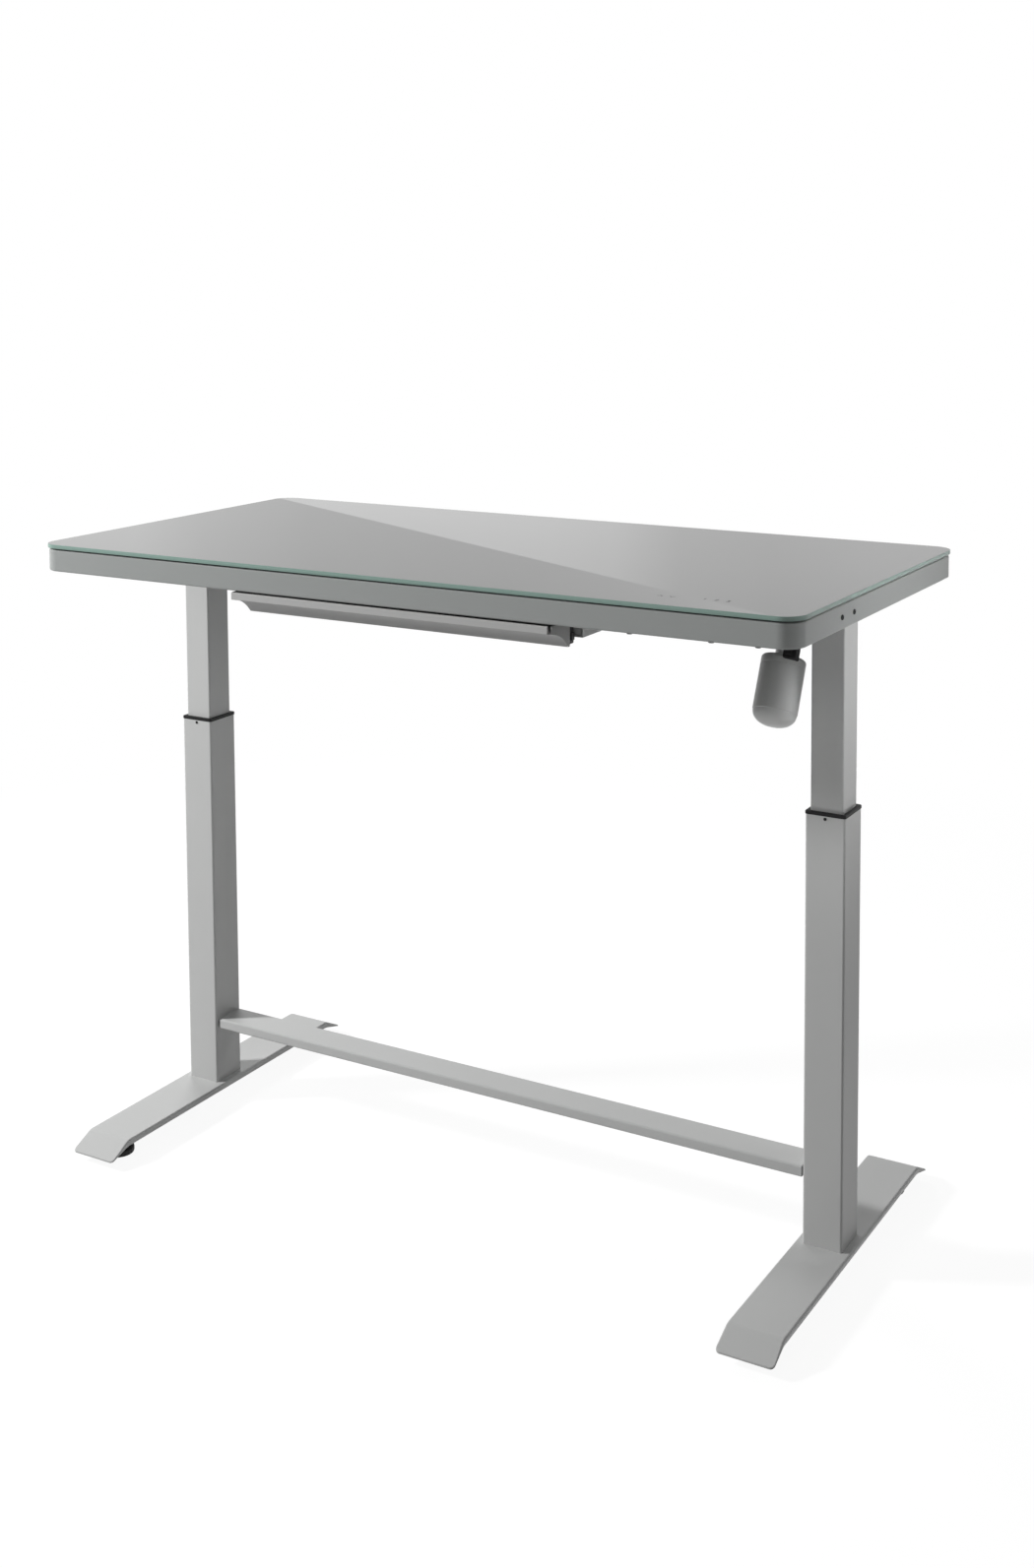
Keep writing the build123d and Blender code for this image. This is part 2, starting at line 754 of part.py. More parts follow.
with BuildPart() as mains_inlet:
    inlet_face = box_place[0] - box_x / 2
    inlet_middle = plate_under - box_height / 2
    with BuildSketch(Plane((inlet_face, box_place[1], inlet_middle), x_dir=(0, 1, 0), z_dir=(1, 0, 0))):
        Rectangle(inlet_y, inlet_z)
    extrude(amount=-inlet_x)
    with BuildSketch(
        Plane((inlet_face - inlet_x, box_place[1], inlet_middle), x_dir=(0, 1, 0), z_dir=(1, 0, 0))
    ):
        SlotOverall(inlet_bore_y, inlet_bore_z)
    extrude(amount=inlet_depth, mode=Mode.SUBTRACT)
save(mains_inlet, "mains_inlet")

with BuildPart() as touch_ribbon:
    ribbon_front = touch_place[1] + touch_y / 2
    ribbon_back = box_place[1] - box_y / 2
    ribbon_middle = (ribbon_front + ribbon_back) / 2
    with BuildSketch(Plane((touch_place[0] - ribbon_offset, ribbon_middle, plate_under))):
        Rectangle(ribbon_width, ribbon_back - ribbon_front)
    extrude(amount=-ribbon_thickness)
save(touch_ribbon, "touch_ribbon")

plug_out = motor_plane.offset(can_start - plug_height).from_local_coords(Vector(*plug_place, 0))
lead_end = Vector(box_place[0] + box_x / 2, box_place[1] + lead_entry_y, inlet_middle)
lead_points = [
    plug_out,
    plug_out - motor_plane.z_dir * lead_run,
    plug_out + Vector(*lead_rise),
    lead_end + Vector(*lead_turn),
    lead_end + Vector(lead_entry, 0, 0),
    lead_end,
]


def bend_radii(points):
    """Radius of each bend, as large as its two runs allow."""
    radii = []
    for before, here, after in zip(points, points[1:], points[2:]):
        shorter = min((here - before).length, (after - here).length)
        turn = radians((here - before).get_angle(after - here))
        radii.append(lead_share * shorter / tan(turn / 2))
    return radii


with BuildPart() as motor_lead:
    with BuildLine() as lead_path:
        FilletPolyline(*lead_points, radius=bend_radii(lead_points))
    with BuildSketch(Plane(plug_out, z_dir=-motor_plane.z_dir)):
        Circle(lead_diameter / 2)
    sweep()
save(motor_lead, "motor_lead")
print("motor lead bends", [round(r, 1) for r in bend_radii(lead_points)])
lead_length = sum(edge.length for edge in lead_path.edges())
print("motor lead mean section", round(motor_lead.part.volume / lead_length, 2))

# Drawer: a curved front between two end caps, a tray, and a rail on each side
lip_top = apron_bottom - drawer_gap
lip_bottom = lip_top - drawer_lip_height
drawer_bottom = apron_bottom - drawer_bottom_drop
tray_top = apron_bottom - tray_top_drop
tray_floor = apron_bottom - tray_floor_drop
front_curve = [
    (drawer_lip_y + drawer_step, lip_bottom - drawer_step_drop),
    (drawer_lip_y + drawer_mid_back, apron_bottom - drawer_mid_drop),
    (drawer_lip_y + drawer_toe, drawer_bottom),
]
back_curve = [(y + drawer_skin / 2, z + drawer_skin) for y, z in reversed(front_curve)]

with BuildPart() as drawer_front:
    with BuildSketch(across(drawer_offset + drawer_cap - drawer_half)):
        with BuildLine():
            Polyline((drawer_lip_y, lip_top), (drawer_lip_y, lip_bottom), front_curve[0])
            Spline(*front_curve)
            Polyline(
                front_curve[-1],
                (drawer_back_y, drawer_bottom),
                (drawer_back_y, drawer_bottom + front_flange),
                (drawer_back_y - drawer_skin, drawer_bottom + front_flange),
                (drawer_back_y - drawer_skin, drawer_bottom + drawer_skin),
                back_curve[0],
            )
            Spline(*back_curve)
            Polyline(
                back_curve[-1],
                (drawer_lip_y + drawer_skin, lip_bottom + drawer_skin),
                (drawer_lip_y + drawer_skin, lip_top),
                (drawer_lip_y, lip_top),
            )
        make_face()
    extrude(amount=2 * (drawer_half - drawer_cap))
save(drawer_front, "drawer_front")

with BuildPart() as drawer_tray:
    tray_centre = (drawer_offset, drawer_back_y + tray_depth / 2)
    with BuildSketch(Plane.XY.offset(tray_floor)):
        with Locations(tray_centre):
            Rectangle(2 * tray_half, tray_depth)
    extrude(amount=tray_top - tray_floor)
    with BuildSketch(Plane.XY.offset(tray_floor + tray_wall)):
        with Locations(tray_centre):
            Rectangle(2 * (tray_half - tray_wall), tray_depth - 2 * tray_wall)
    extrude(amount=tray_top - tray_floor - tray_wall, mode=Mode.SUBTRACT)
save(drawer_tray, "drawer_tray")

runner_bottom = tray_top - runner_height
rail_bottom = runner_bottom + sheet + rail_gap
rail_top = tray_top - sheet - rail_gap
for end, side in sides:
    with BuildPart() as drawer_end_cap:
        with BuildSketch(across(drawer_offset + side * drawer_half)):
            with BuildLine():
                Polyline((drawer_lip_y, lip_top), (drawer_lip_y, lip_bottom), front_curve[0])
                Spline(*front_curve)
                Polyline(
                    front_curve[-1],
                    (drawer_back_y, drawer_bottom),
                    (drawer_back_y, lip_top),
                    (drawer_lip_y, lip_top),
                )
            make_face()
        extrude(amount=-side * drawer_cap)
    save(drawer_end_cap, f"drawer_end_cap_{end}")

    with BuildPart() as drawer_rail:
        rail_depth = tray_depth + drawer_back_y - runner_start
        with BuildSketch(along(drawer_offset).offset(-runner_start)):
            Polygon(
                (side * tray_half, rail_bottom),
                (side * rail_half, rail_bottom),
                (side * rail_half, rail_bottom + sheet),
                (side * (tray_half + sheet), rail_bottom + sheet),
                (side * (tray_half + sheet), rail_top - sheet),
                (side * rail_half, rail_top - sheet),
                (side * rail_half, rail_top),
                (side * tray_half, rail_top),
                align=None,
            )
        extrude(amount=-rail_depth)
    save(drawer_rail, f"drawer_rail_{end}")

    with BuildPart() as drawer_runner:
        outside = runner_half + sheet
        with BuildSketch(along(drawer_offset).offset(-runner_start)):
            Polygon(
                (side * runner_reach, runner_bottom),
                (side * outside, runner_bottom),
                (side * outside, plate_under - sheet),
                (side * (outside + runner_flange), plate_under - sheet),
                (side * (outside + runner_flange), plate_under),
                (side * runner_half, plate_under),
                (side * runner_half, tray_top),
                (side * runner_reach, tray_top),
                (side * runner_reach, tray_top - sheet),
                (side * runner_half, tray_top - sheet),
                (side * runner_half, runner_bottom + sheet),
                (side * runner_reach, runner_bottom + sheet),
                align=None,
            )
        extrude(amount=-runner_length)
        with BuildSketch(across(drawer_offset + side * runner_half, shaft_z)):
            Circle(shaft_clearance / 2)
        extrude(amount=side * sheet, mode=Mode.SUBTRACT)
    save(drawer_runner, f"drawer_runner_{end}")
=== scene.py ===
import math

import bmesh
import bpy
from bpy.props import FloatProperty, FloatVectorProperty, PointerProperty
from mathutils import Matrix, Vector


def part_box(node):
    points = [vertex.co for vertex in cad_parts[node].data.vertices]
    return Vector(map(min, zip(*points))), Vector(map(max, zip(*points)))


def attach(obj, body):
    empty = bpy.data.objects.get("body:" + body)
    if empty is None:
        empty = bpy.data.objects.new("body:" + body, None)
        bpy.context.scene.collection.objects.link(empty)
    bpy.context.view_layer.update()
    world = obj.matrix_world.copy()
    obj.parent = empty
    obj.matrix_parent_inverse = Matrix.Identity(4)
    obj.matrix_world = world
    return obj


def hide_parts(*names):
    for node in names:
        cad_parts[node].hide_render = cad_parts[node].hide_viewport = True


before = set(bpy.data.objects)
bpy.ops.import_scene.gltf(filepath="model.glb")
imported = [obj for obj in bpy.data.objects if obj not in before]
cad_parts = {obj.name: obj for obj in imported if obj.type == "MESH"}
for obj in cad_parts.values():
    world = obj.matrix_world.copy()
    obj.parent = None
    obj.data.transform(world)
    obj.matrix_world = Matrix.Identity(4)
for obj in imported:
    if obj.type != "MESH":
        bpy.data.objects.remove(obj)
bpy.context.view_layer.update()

bl_info = {
    "name": "Height Adjustable Desk",
    "version": (1, 0, 0),
    "blender": (4, 5, 0),
    "location": "3D View > Sidebar > Desk",
    "description": "Dresses the frame of a glass-topped height adjustable desk",
    "category": "Object",
}

MM = 0.001
SIDES = (("left", -1), ("right", 1))
ENDS = (("front", -1), ("rear", 1))
# Inset of the middle of a rounded edge, as a share of its radius
ROUND = 0.3


# Shader and geometry graphs


def maths(operation, reflected=False):
    """An operator of Socket, which adds a Math node."""

    def add_node(self, other):
        first, second = (other, self) if reflected else (self, other)
        return self.graph.node("ShaderNodeMath", {"operation": operation}, {0: first, 1: second})

    return add_node


class Socket:
    """An output of a node that takes part in Python sums."""

    def __init__(self, graph, socket):
        self.graph = graph
        self.socket = socket

    __add__, __radd__ = maths("ADD"), maths("ADD", reflected=True)
    __sub__, __rsub__ = maths("SUBTRACT"), maths("SUBTRACT", reflected=True)
    __mul__, __rmul__ = maths("MULTIPLY"), maths("MULTIPLY", reflected=True)
    __truediv__, __rtruediv__ = maths("DIVIDE"), maths("DIVIDE", reflected=True)
    __gt__, __lt__ = maths("GREATER_THAN"), maths("LESS_THAN")


class Graph:
    """A node tree that is filled by one method."""

    def __init__(self, tree):
        self.tree = tree

    def node(self, kind, settings=None, values=None, output=0):
        """Adds a node, with its settings first and then the values or links of its sockets."""
        made = self.tree.nodes.new(kind)
        for name, value in (settings or {}).items():
            if name == "stops":
                self.set_stops(made.color_ramp, value)
            else:
                setattr(made, name, value)
        for name, value in (values or {}).items():
            if isinstance(value, Socket):
                self.tree.links.new(value.socket, made.inputs[name])
            else:
                made.inputs[name].default_value = value
        return Socket(self, made.outputs[output]) if made.outputs else made

    def set_stops(self, ramp, stops):
        """Grey stops, each a place and a level, from left to right."""
        while len(ramp.elements) < len(stops):
            ramp.elements.new(1.0)
        for element, (place, level) in zip(ramp.elements, stops):
            element.position = place
            element.color = (level, level, level, 1.0)


class Finish(Graph):
    """A material whose surface is fed from Object coordinates."""

    def __init__(self, name):
        self.material = bpy.data.materials.new(name)
        self.material.use_nodes = True
        super().__init__(self.material.node_tree)
        self.tree.nodes.clear()
        self.place = self.node("ShaderNodeTexCoord", output="Object")

    def stretched(self, scale):
        return self.node("ShaderNodeMapping", None, {"Vector": self.place, "Scale": scale})

    def axis(self, letter):
        return self.node("ShaderNodeSeparateXYZ", None, {0: self.place}, letter)

    def noise(self, scale, detail=2.0, roughness=0.5, place=None):
        values = {"Vector": place or self.place, "Scale": scale, "Detail": detail, "Roughness": roughness}
        return self.node("ShaderNodeTexNoise", {"noise_dimensions": "3D"}, values)

    def cells(self, scale, output):
        values = {"Vector": self.place, "Scale": scale}
        return self.node("ShaderNodeTexVoronoi", {"feature": "F1"}, values, output)

    def bands(self, direction, scale):
        """Even ridges across one axis."""
        settings = {"wave_type": "BANDS", "bands_direction": direction}
        values = {"Vector": self.place, "Scale": scale, "Distortion": 0.0}
        return self.grey(self.node("ShaderNodeTexWave", settings, values))

    def grey(self, colour):
        return self.node("ShaderNodeRGBToBW", None, {0: colour})

    def ramp(self, factor, stops):
        return self.node("ShaderNodeValToRGB", {"stops": stops}, {0: factor})

    def between(self, factor, first, second):
        values = {0: factor, 6: first, 7: second}
        return self.node("ShaderNodeMix", {"data_type": "RGBA"}, values, 2)

    def tones(self, factor, colour, dark, light):
        """From a darker to a lighter tone of one colour."""
        return self.between(factor, shade(colour, dark), shade(colour, light))

    def bump(self, height, strength, depth):
        return self.node("ShaderNodeBump", None, {"Strength": strength, "Distance": depth, "Height": height})

    def surface(self, **values):
        """The finished material; a keyword is a shader's socket with _ for its spaces."""
        named = {key.replace("_", " "): value for key, value in values.items()}
        return self.end(self.node("ShaderNodeBsdfPrincipled", None, named))

    def glow(self, strength):
        values = {"Color": (1, 1, 1, 1), "Strength": strength}
        return self.node("ShaderNodeEmission", None, values)

    def end(self, shader):
        self.node("ShaderNodeOutputMaterial", None, {"Surface": shader})
        return self.material


def shade(colour, factor):
    """A colour made darker or lighter, with full alpha."""
    return tuple(min(1.0, c * factor) for c in colour[:3]) + (1.0,)


# Finishes


def powder_coat(name, colour, roughness, gloss=0.5):
    """Baked powder paint: a fine orange peel, slow drift of tone and polish."""
    f = Finish(name)
    peel = f.noise(900.0, detail=3.0, roughness=0.55)
    drift = f.noise(5.0, detail=3.0)
    speck = f.noise(2600.0, detail=1.0)
    tone = f.tones(drift, colour, 0.965, 1.035)
    return f.surface(
        Base_Color=f.between(speck * 0.35, tone, shade(colour, 0.9)),
        Roughness=roughness - 0.05 + drift * 0.06 + peel * 0.04,
        Specular_IOR_Level=gloss,
        Normal=f.bump(peel, strength=0.12, depth=0.00012),
    )


def painted_glass(name, colour):
    """The top face: grey paint seen through polished glass."""
    f = Finish(name)
    drift = f.noise(3.0, detail=3.0)
    haze = f.noise(40.0, detail=4.0, roughness=0.6)
    speck = f.noise(1800.0, detail=1.0)
    tone = f.tones(drift, colour, 0.97, 1.03)
    flake = f.between(speck * 0.3, tone, shade(colour, 1.08))
    return f.surface(Base_Color=flake, Roughness=0.004 + haze * 0.008, IOR=1.5)


def cut_glass(name, colour):
    """The ground and polished edge, which shows the green of the glass, with painted light across its height.
    """
    f = Finish(name)
    low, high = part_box("glass_top")
    across = (f.axis("Z") - low.z) / (high.z - low.z)
    # Painted light: the edge is darkest at the bottom, a painted highlight band lies above the middle, and
    # the top is a little darker.
    glow = f.ramp(across, ((0.0, 0.25), (0.35, 0.75), (0.7, 1.0), (1.0, 0.6)))
    streak = f.noise(60.0, detail=3.0, roughness=0.6, place=f.stretched((1.0, 1.0, 0.05)))
    depth = f.tones(glow, colour, 0.7, 1.15)
    body = f.between(streak * 0.35, depth, shade(colour, 0.8))
    return f.surface(Base_Color=body, Roughness=0.06 + streak * 0.1, IOR=1.5)


def moulded_plastic(name, colour, roughness, gloss=0.5):
    """Spark-eroded texture of a moulded part."""
    f = Finish(name)
    grain = f.noise(1500.0, detail=4.0, roughness=0.65)
    drift = f.noise(12.0)
    return f.surface(
        Base_Color=f.tones(drift, colour, 0.9, 1.12),
        Roughness=roughness - 0.05 + grain * 0.12,
        Specular_IOR_Level=gloss,
        Normal=f.bump(grain, strength=0.25, depth=0.00015),
    )


def cut_foam(name, colour):
    """Closed-cell foam tape, painted darker in the cells' hollows as shade."""
    f = Finish(name)
    cells = f.cells(2200.0, "Distance")
    drift = f.noise(30.0)
    # Painted shade: the colour follows the cells' relief, dark in the hollows and light on the raised walls.
    return f.surface(
        Base_Color=f.tones(cells, colour, 0.7, 1.5),
        Roughness=0.85 + drift * 0.1,
        Normal=f.bump(cells, strength=0.4, depth=0.0002),
    )


def plated_steel(name, colour, roughness):
    """Zinc plate: faint crystals over drawn steel."""
    f = Finish(name)
    crystal = f.grey(f.cells(420.0, "Color"))
    drift = f.noise(90.0, detail=3.0)
    return f.surface(
        Base_Color=f.tones(drift, colour, 0.85, 1.1),
        Metallic=1.0,
        Roughness=roughness + crystal * 0.12,
        Normal=f.bump(drift, strength=0.08, depth=0.0002),
    )


def oxide_screw(name, colour):
    """Black oxide with worn, lighter patches."""
    f = Finish(name)
    worn = f.noise(700.0, detail=3.0)
    tone = f.tones(worn, colour, 0.7, 1.5)
    return f.surface(Base_Color=tone, Roughness=0.4 + worn * 0.2, Specular_IOR_Level=0.25)


def sand_cast(name, colour):
    """Die-cast alloy with a dull skin."""
    f = Finish(name)
    pits = f.noise(1100.0, detail=4.0, roughness=0.65)
    flow = f.noise(35.0, detail=3.0, roughness=0.6, place=f.stretched((1.0, 1.0, 0.4)))
    return f.surface(
        Base_Color=f.tones(flow, colour, 0.85, 1.12),
        Metallic=0.9,
        Roughness=0.42 + pits * 0.16,
        Normal=f.bump(pits, strength=0.3, depth=0.0002),
    )


def flat_cable(name, colour):
    """Ribbon cable: fine ridges across its width, with painted shade in the valleys and painted highlight on
    the ridges.
    """
    f = Finish(name)
    ridge = f.bands("X", 250.0)
    # Painted shade and highlight: the colour follows the ridges, darker in the valleys and lighter on the
    # tops.
    return f.surface(
        Base_Color=f.tones(ridge, colour, 0.7, 1.1),
        Roughness=0.4 + ridge * 0.1,
        Normal=f.bump(ridge, strength=0.5, depth=0.0003),
    )


def rolled_thread(name, colour):
    """Bright rolled steel with the grooves of a lead screw, painted darker in the grooves as shade."""
    f = Finish(name)
    groove = f.bands("Z", 39.3)
    oil = f.noise(60.0, detail=3.0)
    # Painted shade and highlight: the colour darkens in the grooves and lightens on the crests.
    return f.surface(
        Base_Color=f.tones(groove, colour, 0.45, 1.1),
        Metallic=1.0,
        Roughness=0.2 + oil * 0.2,
        Normal=f.bump(groove, strength=1.0, depth=0.001),
    )


def make_finishes(colours):
    """Every finish by the name of its slot."""
    polish = colours.paint_roughness
    return {
        "grey_paint": powder_coat("grey_powder_coat", colours.frame_paint, polish),
        # The tray's finish is a darker copy of the frame paint: painted shade for the tray's darker look
        # under the lamps.
        "apron_painted_shade": powder_coat("apron_powder_coat", colours.apron_painted_shade, polish),
        "drawer_paint": powder_coat("drawer_powder_coat", colours.drawer_paint, polish, gloss=0.12),
        "grey_glass": painted_glass("back_painted_glass", colours.glass_paint),
        "glass_edge": cut_glass("polished_glass_edge", colours.glass_edge),
        "black_foam": cut_foam("black_foam_tape", colours.black),
        "black_plastic": moulded_plastic("black_moulded_plastic", colours.black, 0.5, gloss=0.2),
        "slide_plastic": moulded_plastic("dark_slide_plastic", colours.slide, 0.5, gloss=0.3),
        "white_plastic": moulded_plastic("white_moulded_plastic", colours.white, 0.4),
        "ribbon_plastic": flat_cable("grey_ribbon_cable", colours.ribbon),
        "black_screw": oxide_screw("black_oxide_screw", colours.black),
        "zinc_steel": plated_steel("zinc_plated_steel", colours.zinc, 0.28),
        "cast_aluminium": sand_cast("die_cast_alloy", colours.alloy),
        "thread_steel": rolled_thread("rolled_lead_screw", colours.zinc),
        "print": moulded_plastic("printed_mark", colours.print, 0.6, gloss=0.1),
    }


FINISHES = {}


# Mesh building


def mm(*values):
    """A vector of lengths in millimetres."""
    return Vector([value * MM for value in values])


def all_mm(points):
    return [mm(*point) for point in points]


def rectangle(low, high):
    """Corners of a flat rectangle, anticlockwise."""
    return [(low[0], low[1]), (high[0], low[1]), (high[0], high[1]), (low[0], high[1])]


def rounded_ring(half_x, half_y, radius, steps, z=0.0, centre=(0.0, 0.0)):
    """Points of a rounded rectangle, anticlockwise seen from above."""
    ring = []
    for quarter, (sx, sy) in enumerate(((1, 1), (-1, 1), (-1, -1), (1, -1))):
        for step in range(steps + 1):
            turn = math.pi / 2 * (quarter + step / steps)
            x = centre[0] + sx * (half_x - radius) + radius * math.cos(turn)
            y = centre[1] + sy * (half_y - radius) + radius * math.sin(turn)
            ring.append(Vector((x, y, z)))
    return ring


def inset_rings(path, half, corner, steps, centre=(0.0, 0.0), share=1.0, least=0.0):
    """Rounded rectangles along a path of insets and heights; corners lose a share of the inset."""
    rings = []
    for inset, z in path:
        radius = max(corner - inset * share, least)
        rings.append(rounded_ring(half[0] - inset, half[1] - inset, radius, steps, z, centre))
    return rings


def rounded_path(corners, steps, closed=True):
    """Points of a path in a plane whose corners, (u, v, radius), are rounded."""
    points = []
    count = len(corners)
    for i, (u, v, radius) in enumerate(corners):
        here = Vector((u, v))
        if radius <= 0 or (not closed and i in (0, count - 1)):
            points.append(here)
            continue
        before = (Vector(corners[i - 1][:2]) - here).normalized()
        after = (Vector(corners[(i + 1) % count][:2]) - here).normalized()
        half = before.angle(after) / 2
        middle = here + (before + after).normalized() * (radius / math.sin(half))
        start = here + before * (radius / math.tan(half)) - middle
        end = here + after * (radius / math.tan(half)) - middle
        sweep = start.angle(end)
        for step in range(steps + 1):
            t = step / steps
            near = math.sin((1 - t) * sweep) / math.sin(sweep)
            far = math.sin(t * sweep) / math.sin(sweep)
            points.append(middle + start * near + end * far)
    return points


def skin(bm, rings, loop=False, material=0):
    """Quads from each ring to the next; loop joins the last to the first."""
    rows = [[bm.verts.new(point) for point in ring] for ring in rings]
    count = len(rows)
    for i in range(count if loop else count - 1):
        here, there = rows[i], rows[(i + 1) % count]
        for j in range(len(here)):
            k = (j + 1) % len(here)
            face = bm.faces.new((here[j], here[k], there[k], there[j]))
            face.material_index = material
    return rows


def closed_skin(bm, rings, material=0):
    """A skin whose first and last rings are closed by a face each."""
    rows = skin(bm, rings, material=material)
    bm.faces.new(rows[0])
    bm.faces.new(rows[-1])


def circle(radius, steps, height, place, groove=0.0):
    """Points about the Z axis of place; a groove sets back two of every four."""
    ring = []
    for step in range(steps):
        turn = 2 * math.pi * step / steps
        reach = radius - (groove if step % 4 < 2 else 0.0)
        ring.append(place @ Vector((reach * math.cos(turn), reach * math.sin(turn), height)))
    return ring


def lathe(bm, profile, steps, place):
    """Turns a profile of (radius, height) points about the Z axis of place."""
    closed_skin(bm, [circle(radius, steps, height, place) for radius, height in profile])


def prism(bm, profile, to_space, start, end, lip):
    """A closed profile drawn out from start to end, its end edges eased by lip."""
    middle = sum(profile, Vector((0, 0))) / len(profile)
    eased = [p + (middle - p).normalized() * lip for p in profile]
    stations = ((eased, start), (profile, start + lip), (profile, end - lip), (eased, end))
    closed_skin(bm, [[to_space(p, at) for p in points] for points, at in stations])


def soft_box(bm, low, high, edge):
    """A block between two corners with every edge rounded."""
    low, high = Vector(low), Vector(high)
    place = Matrix.Translation((low + high) / 2) @ Matrix.Diagonal((*(high - low), 1.0))
    made = bmesh.ops.create_cube(bm, size=1.0, matrix=place)
    edges = {e for v in made["verts"] for e in v.link_edges}
    bmesh.ops.bevel(bm, geom=list(edges), offset=edge, segments=3, profile=0.5, affect="EDGES")


def mesh_of(name, bm, finishes):
    """A mesh with its finishes, made from a bmesh."""
    mesh = bpy.data.meshes.new(name)
    bm.to_mesh(mesh)
    bm.free()
    for finish in finishes:
        mesh.materials.append(finish)
    return mesh


def add_object(name, data):
    """Links a new object into the scene."""
    made = bpy.data.objects.new(name, data)
    bpy.context.scene.collection.objects.link(made)
    return made


def baked_mesh(made):
    """The mesh that an object's modifiers give."""
    graph = bpy.context.evaluated_depsgraph_get()
    return bpy.data.meshes.new_from_object(made.evaluated_get(graph))


def piece(name, bm, body, slot, finishes=None, replaced=(), sharp=35.0):
    """Turns a bmesh into a finished piece that rides on a body."""
    bmesh.ops.remove_doubles(bm, verts=bm.verts, dist=1e-6)
    bmesh.ops.dissolve_degenerate(bm, dist=1e-7, edges=bm.edges)
    bmesh.ops.recalc_face_normals(bm, faces=bm.faces)
    limit = math.radians(sharp)
    for face in bm.faces:
        face.smooth = True
    for edge in bm.edges:
        edge.smooth = edge.calc_face_angle(math.pi) < limit
    made = add_object(name, mesh_of(name, bm, [FINISHES[finish] for finish in finishes or (slot,)]))
    even = made.modifiers.new("Even Normals", "WEIGHTED_NORMAL")
    even.keep_sharp = True
    old, result = made.data, baked_mesh(made)
    made.modifiers.clear()
    made.data = result
    result.name = name
    bpy.data.meshes.remove(old)
    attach(made, body)
    if replaced:
        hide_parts(*replaced)


# Geometry node trees


class Copies(Graph):
    """A geometry tree with named inputs that puts copies of a shape on points."""

    def __init__(self, name, lengths, counts=()):
        super().__init__(bpy.data.node_groups.new(name, "GeometryNodeTree"))
        kinds = {"Geometry": "NodeSocketGeometry", "Finish": "NodeSocketMaterial"}
        kinds.update({label: "NodeSocketInt" for label in counts})
        kinds.update({label: "NodeSocketFloat" for label in lengths})
        for label, kind in kinds.items():
            self.tree.interface.new_socket(label, in_out="INPUT", socket_type=kind)
        self.tree.interface.new_socket("Geometry", in_out="OUTPUT", socket_type="NodeSocketGeometry")
        self.inputs = {label: self.node("NodeGroupInput", output=label) for label in kinds}
        self.spot = self.node("GeometryNodeInputPosition")
        self.level = self.node("ShaderNodeSeparateXYZ", None, {0: self.spot}, "Z")

    def vector(self, *parts):
        return self.node("ShaderNodeCombineXYZ", None, dict(enumerate(parts)))

    def cylinder(self, diameter, depth, sides, rows=1):
        values = {"Vertices": sides, "Side Segments": rows, "Radius": diameter / 2, "Depth": depth}
        return self.node("GeometryNodeMeshCylinder", {"fill_type": "NGON"}, values)

    def lifted(self, shape, height):
        values = {"Geometry": shape, "Translation": self.vector(0.0, 0.0, height)}
        return self.node("GeometryNodeTransform", None, values)

    def drawn_in(self, shape, chosen, scale):
        """Scales the chosen points of a shape towards its middle."""
        near = self.node("ShaderNodeVectorMath", {"operation": "MULTIPLY"}, {0: self.spot, 1: scale})
        values = {"Geometry": shape, "Selection": chosen, "Position": near}
        return self.node("GeometryNodeSetPosition", None, values)

    def end(self, **values):
        """Puts the copies on their points as real mesh with its finish, and closes the tree."""
        many = self.node("GeometryNodeInstanceOnPoints", None, values)
        real = self.node("GeometryNodeRealizeInstances", None, {0: many})
        done = self.node("GeometryNodeSetMaterial", None, {0: real, "Material": self.inputs["Finish"]})
        self.node("NodeGroupOutput", None, {0: done})
        return self.tree


def grow(tree, mesh, values):
    """The mesh that a tree makes from a start mesh, as a bmesh."""
    holder = add_object("holder", mesh)
    nodes = holder.modifiers.new("Grow", "NODES")
    nodes.node_group = tree
    for item in tree.interface.items_tree:
        if item.in_out == "INPUT" and item.name in values:
            nodes[item.identifier] = values[item.name]
    result = baked_mesh(holder)
    bm = bmesh.new()
    bm.from_mesh(result)
    for face in bm.faces:
        face.material_index = 0
    bpy.data.objects.remove(holder)
    bpy.data.meshes.remove(result)
    bpy.data.meshes.remove(mesh)
    return bm


def spots_mesh(spots, axes):
    """Loose points, each with the axis that its screw stands along."""
    mesh = bpy.data.meshes.new("spots")
    mesh.from_pydata([tuple(p) for p in spots], [], [])
    stored = mesh.attributes.new("axis", "FLOAT_VECTOR", "POINT")
    for item, axis in zip(stored.data, axes):
        item.vector = axis
    return mesh


SCREW_LENGTHS = (
    "Head Diameter", "Head Height", "Shank Diameter", "Shank Length", "Socket Width", "Socket Depth",
)


def screw_tree():
    """A socket-head screw on every point of a mesh."""
    g = Copies("screws_on_points", SCREW_LENGTHS)
    head_width, head_height, shank_width, shank_length, socket_width, socket_depth = (
        g.inputs[label] for label in SCREW_LENGTHS
    )
    head = g.cylinder(head_width, head_height, sides=32, rows=3)
    crown = g.level > head_height * 0.4
    head = g.drawn_in(head, crown, scale=(0.82, 0.82, 1.0))
    socket = g.lifted(g.cylinder(socket_width, socket_depth * 2, sides=6), head_height / 2)
    values = {"Mesh 1": head, "Mesh 2": socket}
    head = g.node("GeometryNodeMeshBoolean", {"operation": "DIFFERENCE"}, values)
    screw = g.node("GeometryNodeJoinGeometry", None, {0: g.lifted(head, head_height / 2)})
    shank = g.lifted(g.cylinder(shank_width, shank_length, sides=20), shank_length / -2)
    g.tree.links.new(shank.socket, screw.socket.node.inputs[0])
    axis = g.node("GeometryNodeInputNamedAttribute", {"data_type": "FLOAT_VECTOR"}, {"Name": "axis"})
    turn = g.node("FunctionNodeAlignRotationToVector", {"axis": "Z"}, {"Vector": axis})
    return g.end(Points=g.inputs["Geometry"], Instance=screw, Rotation=turn)


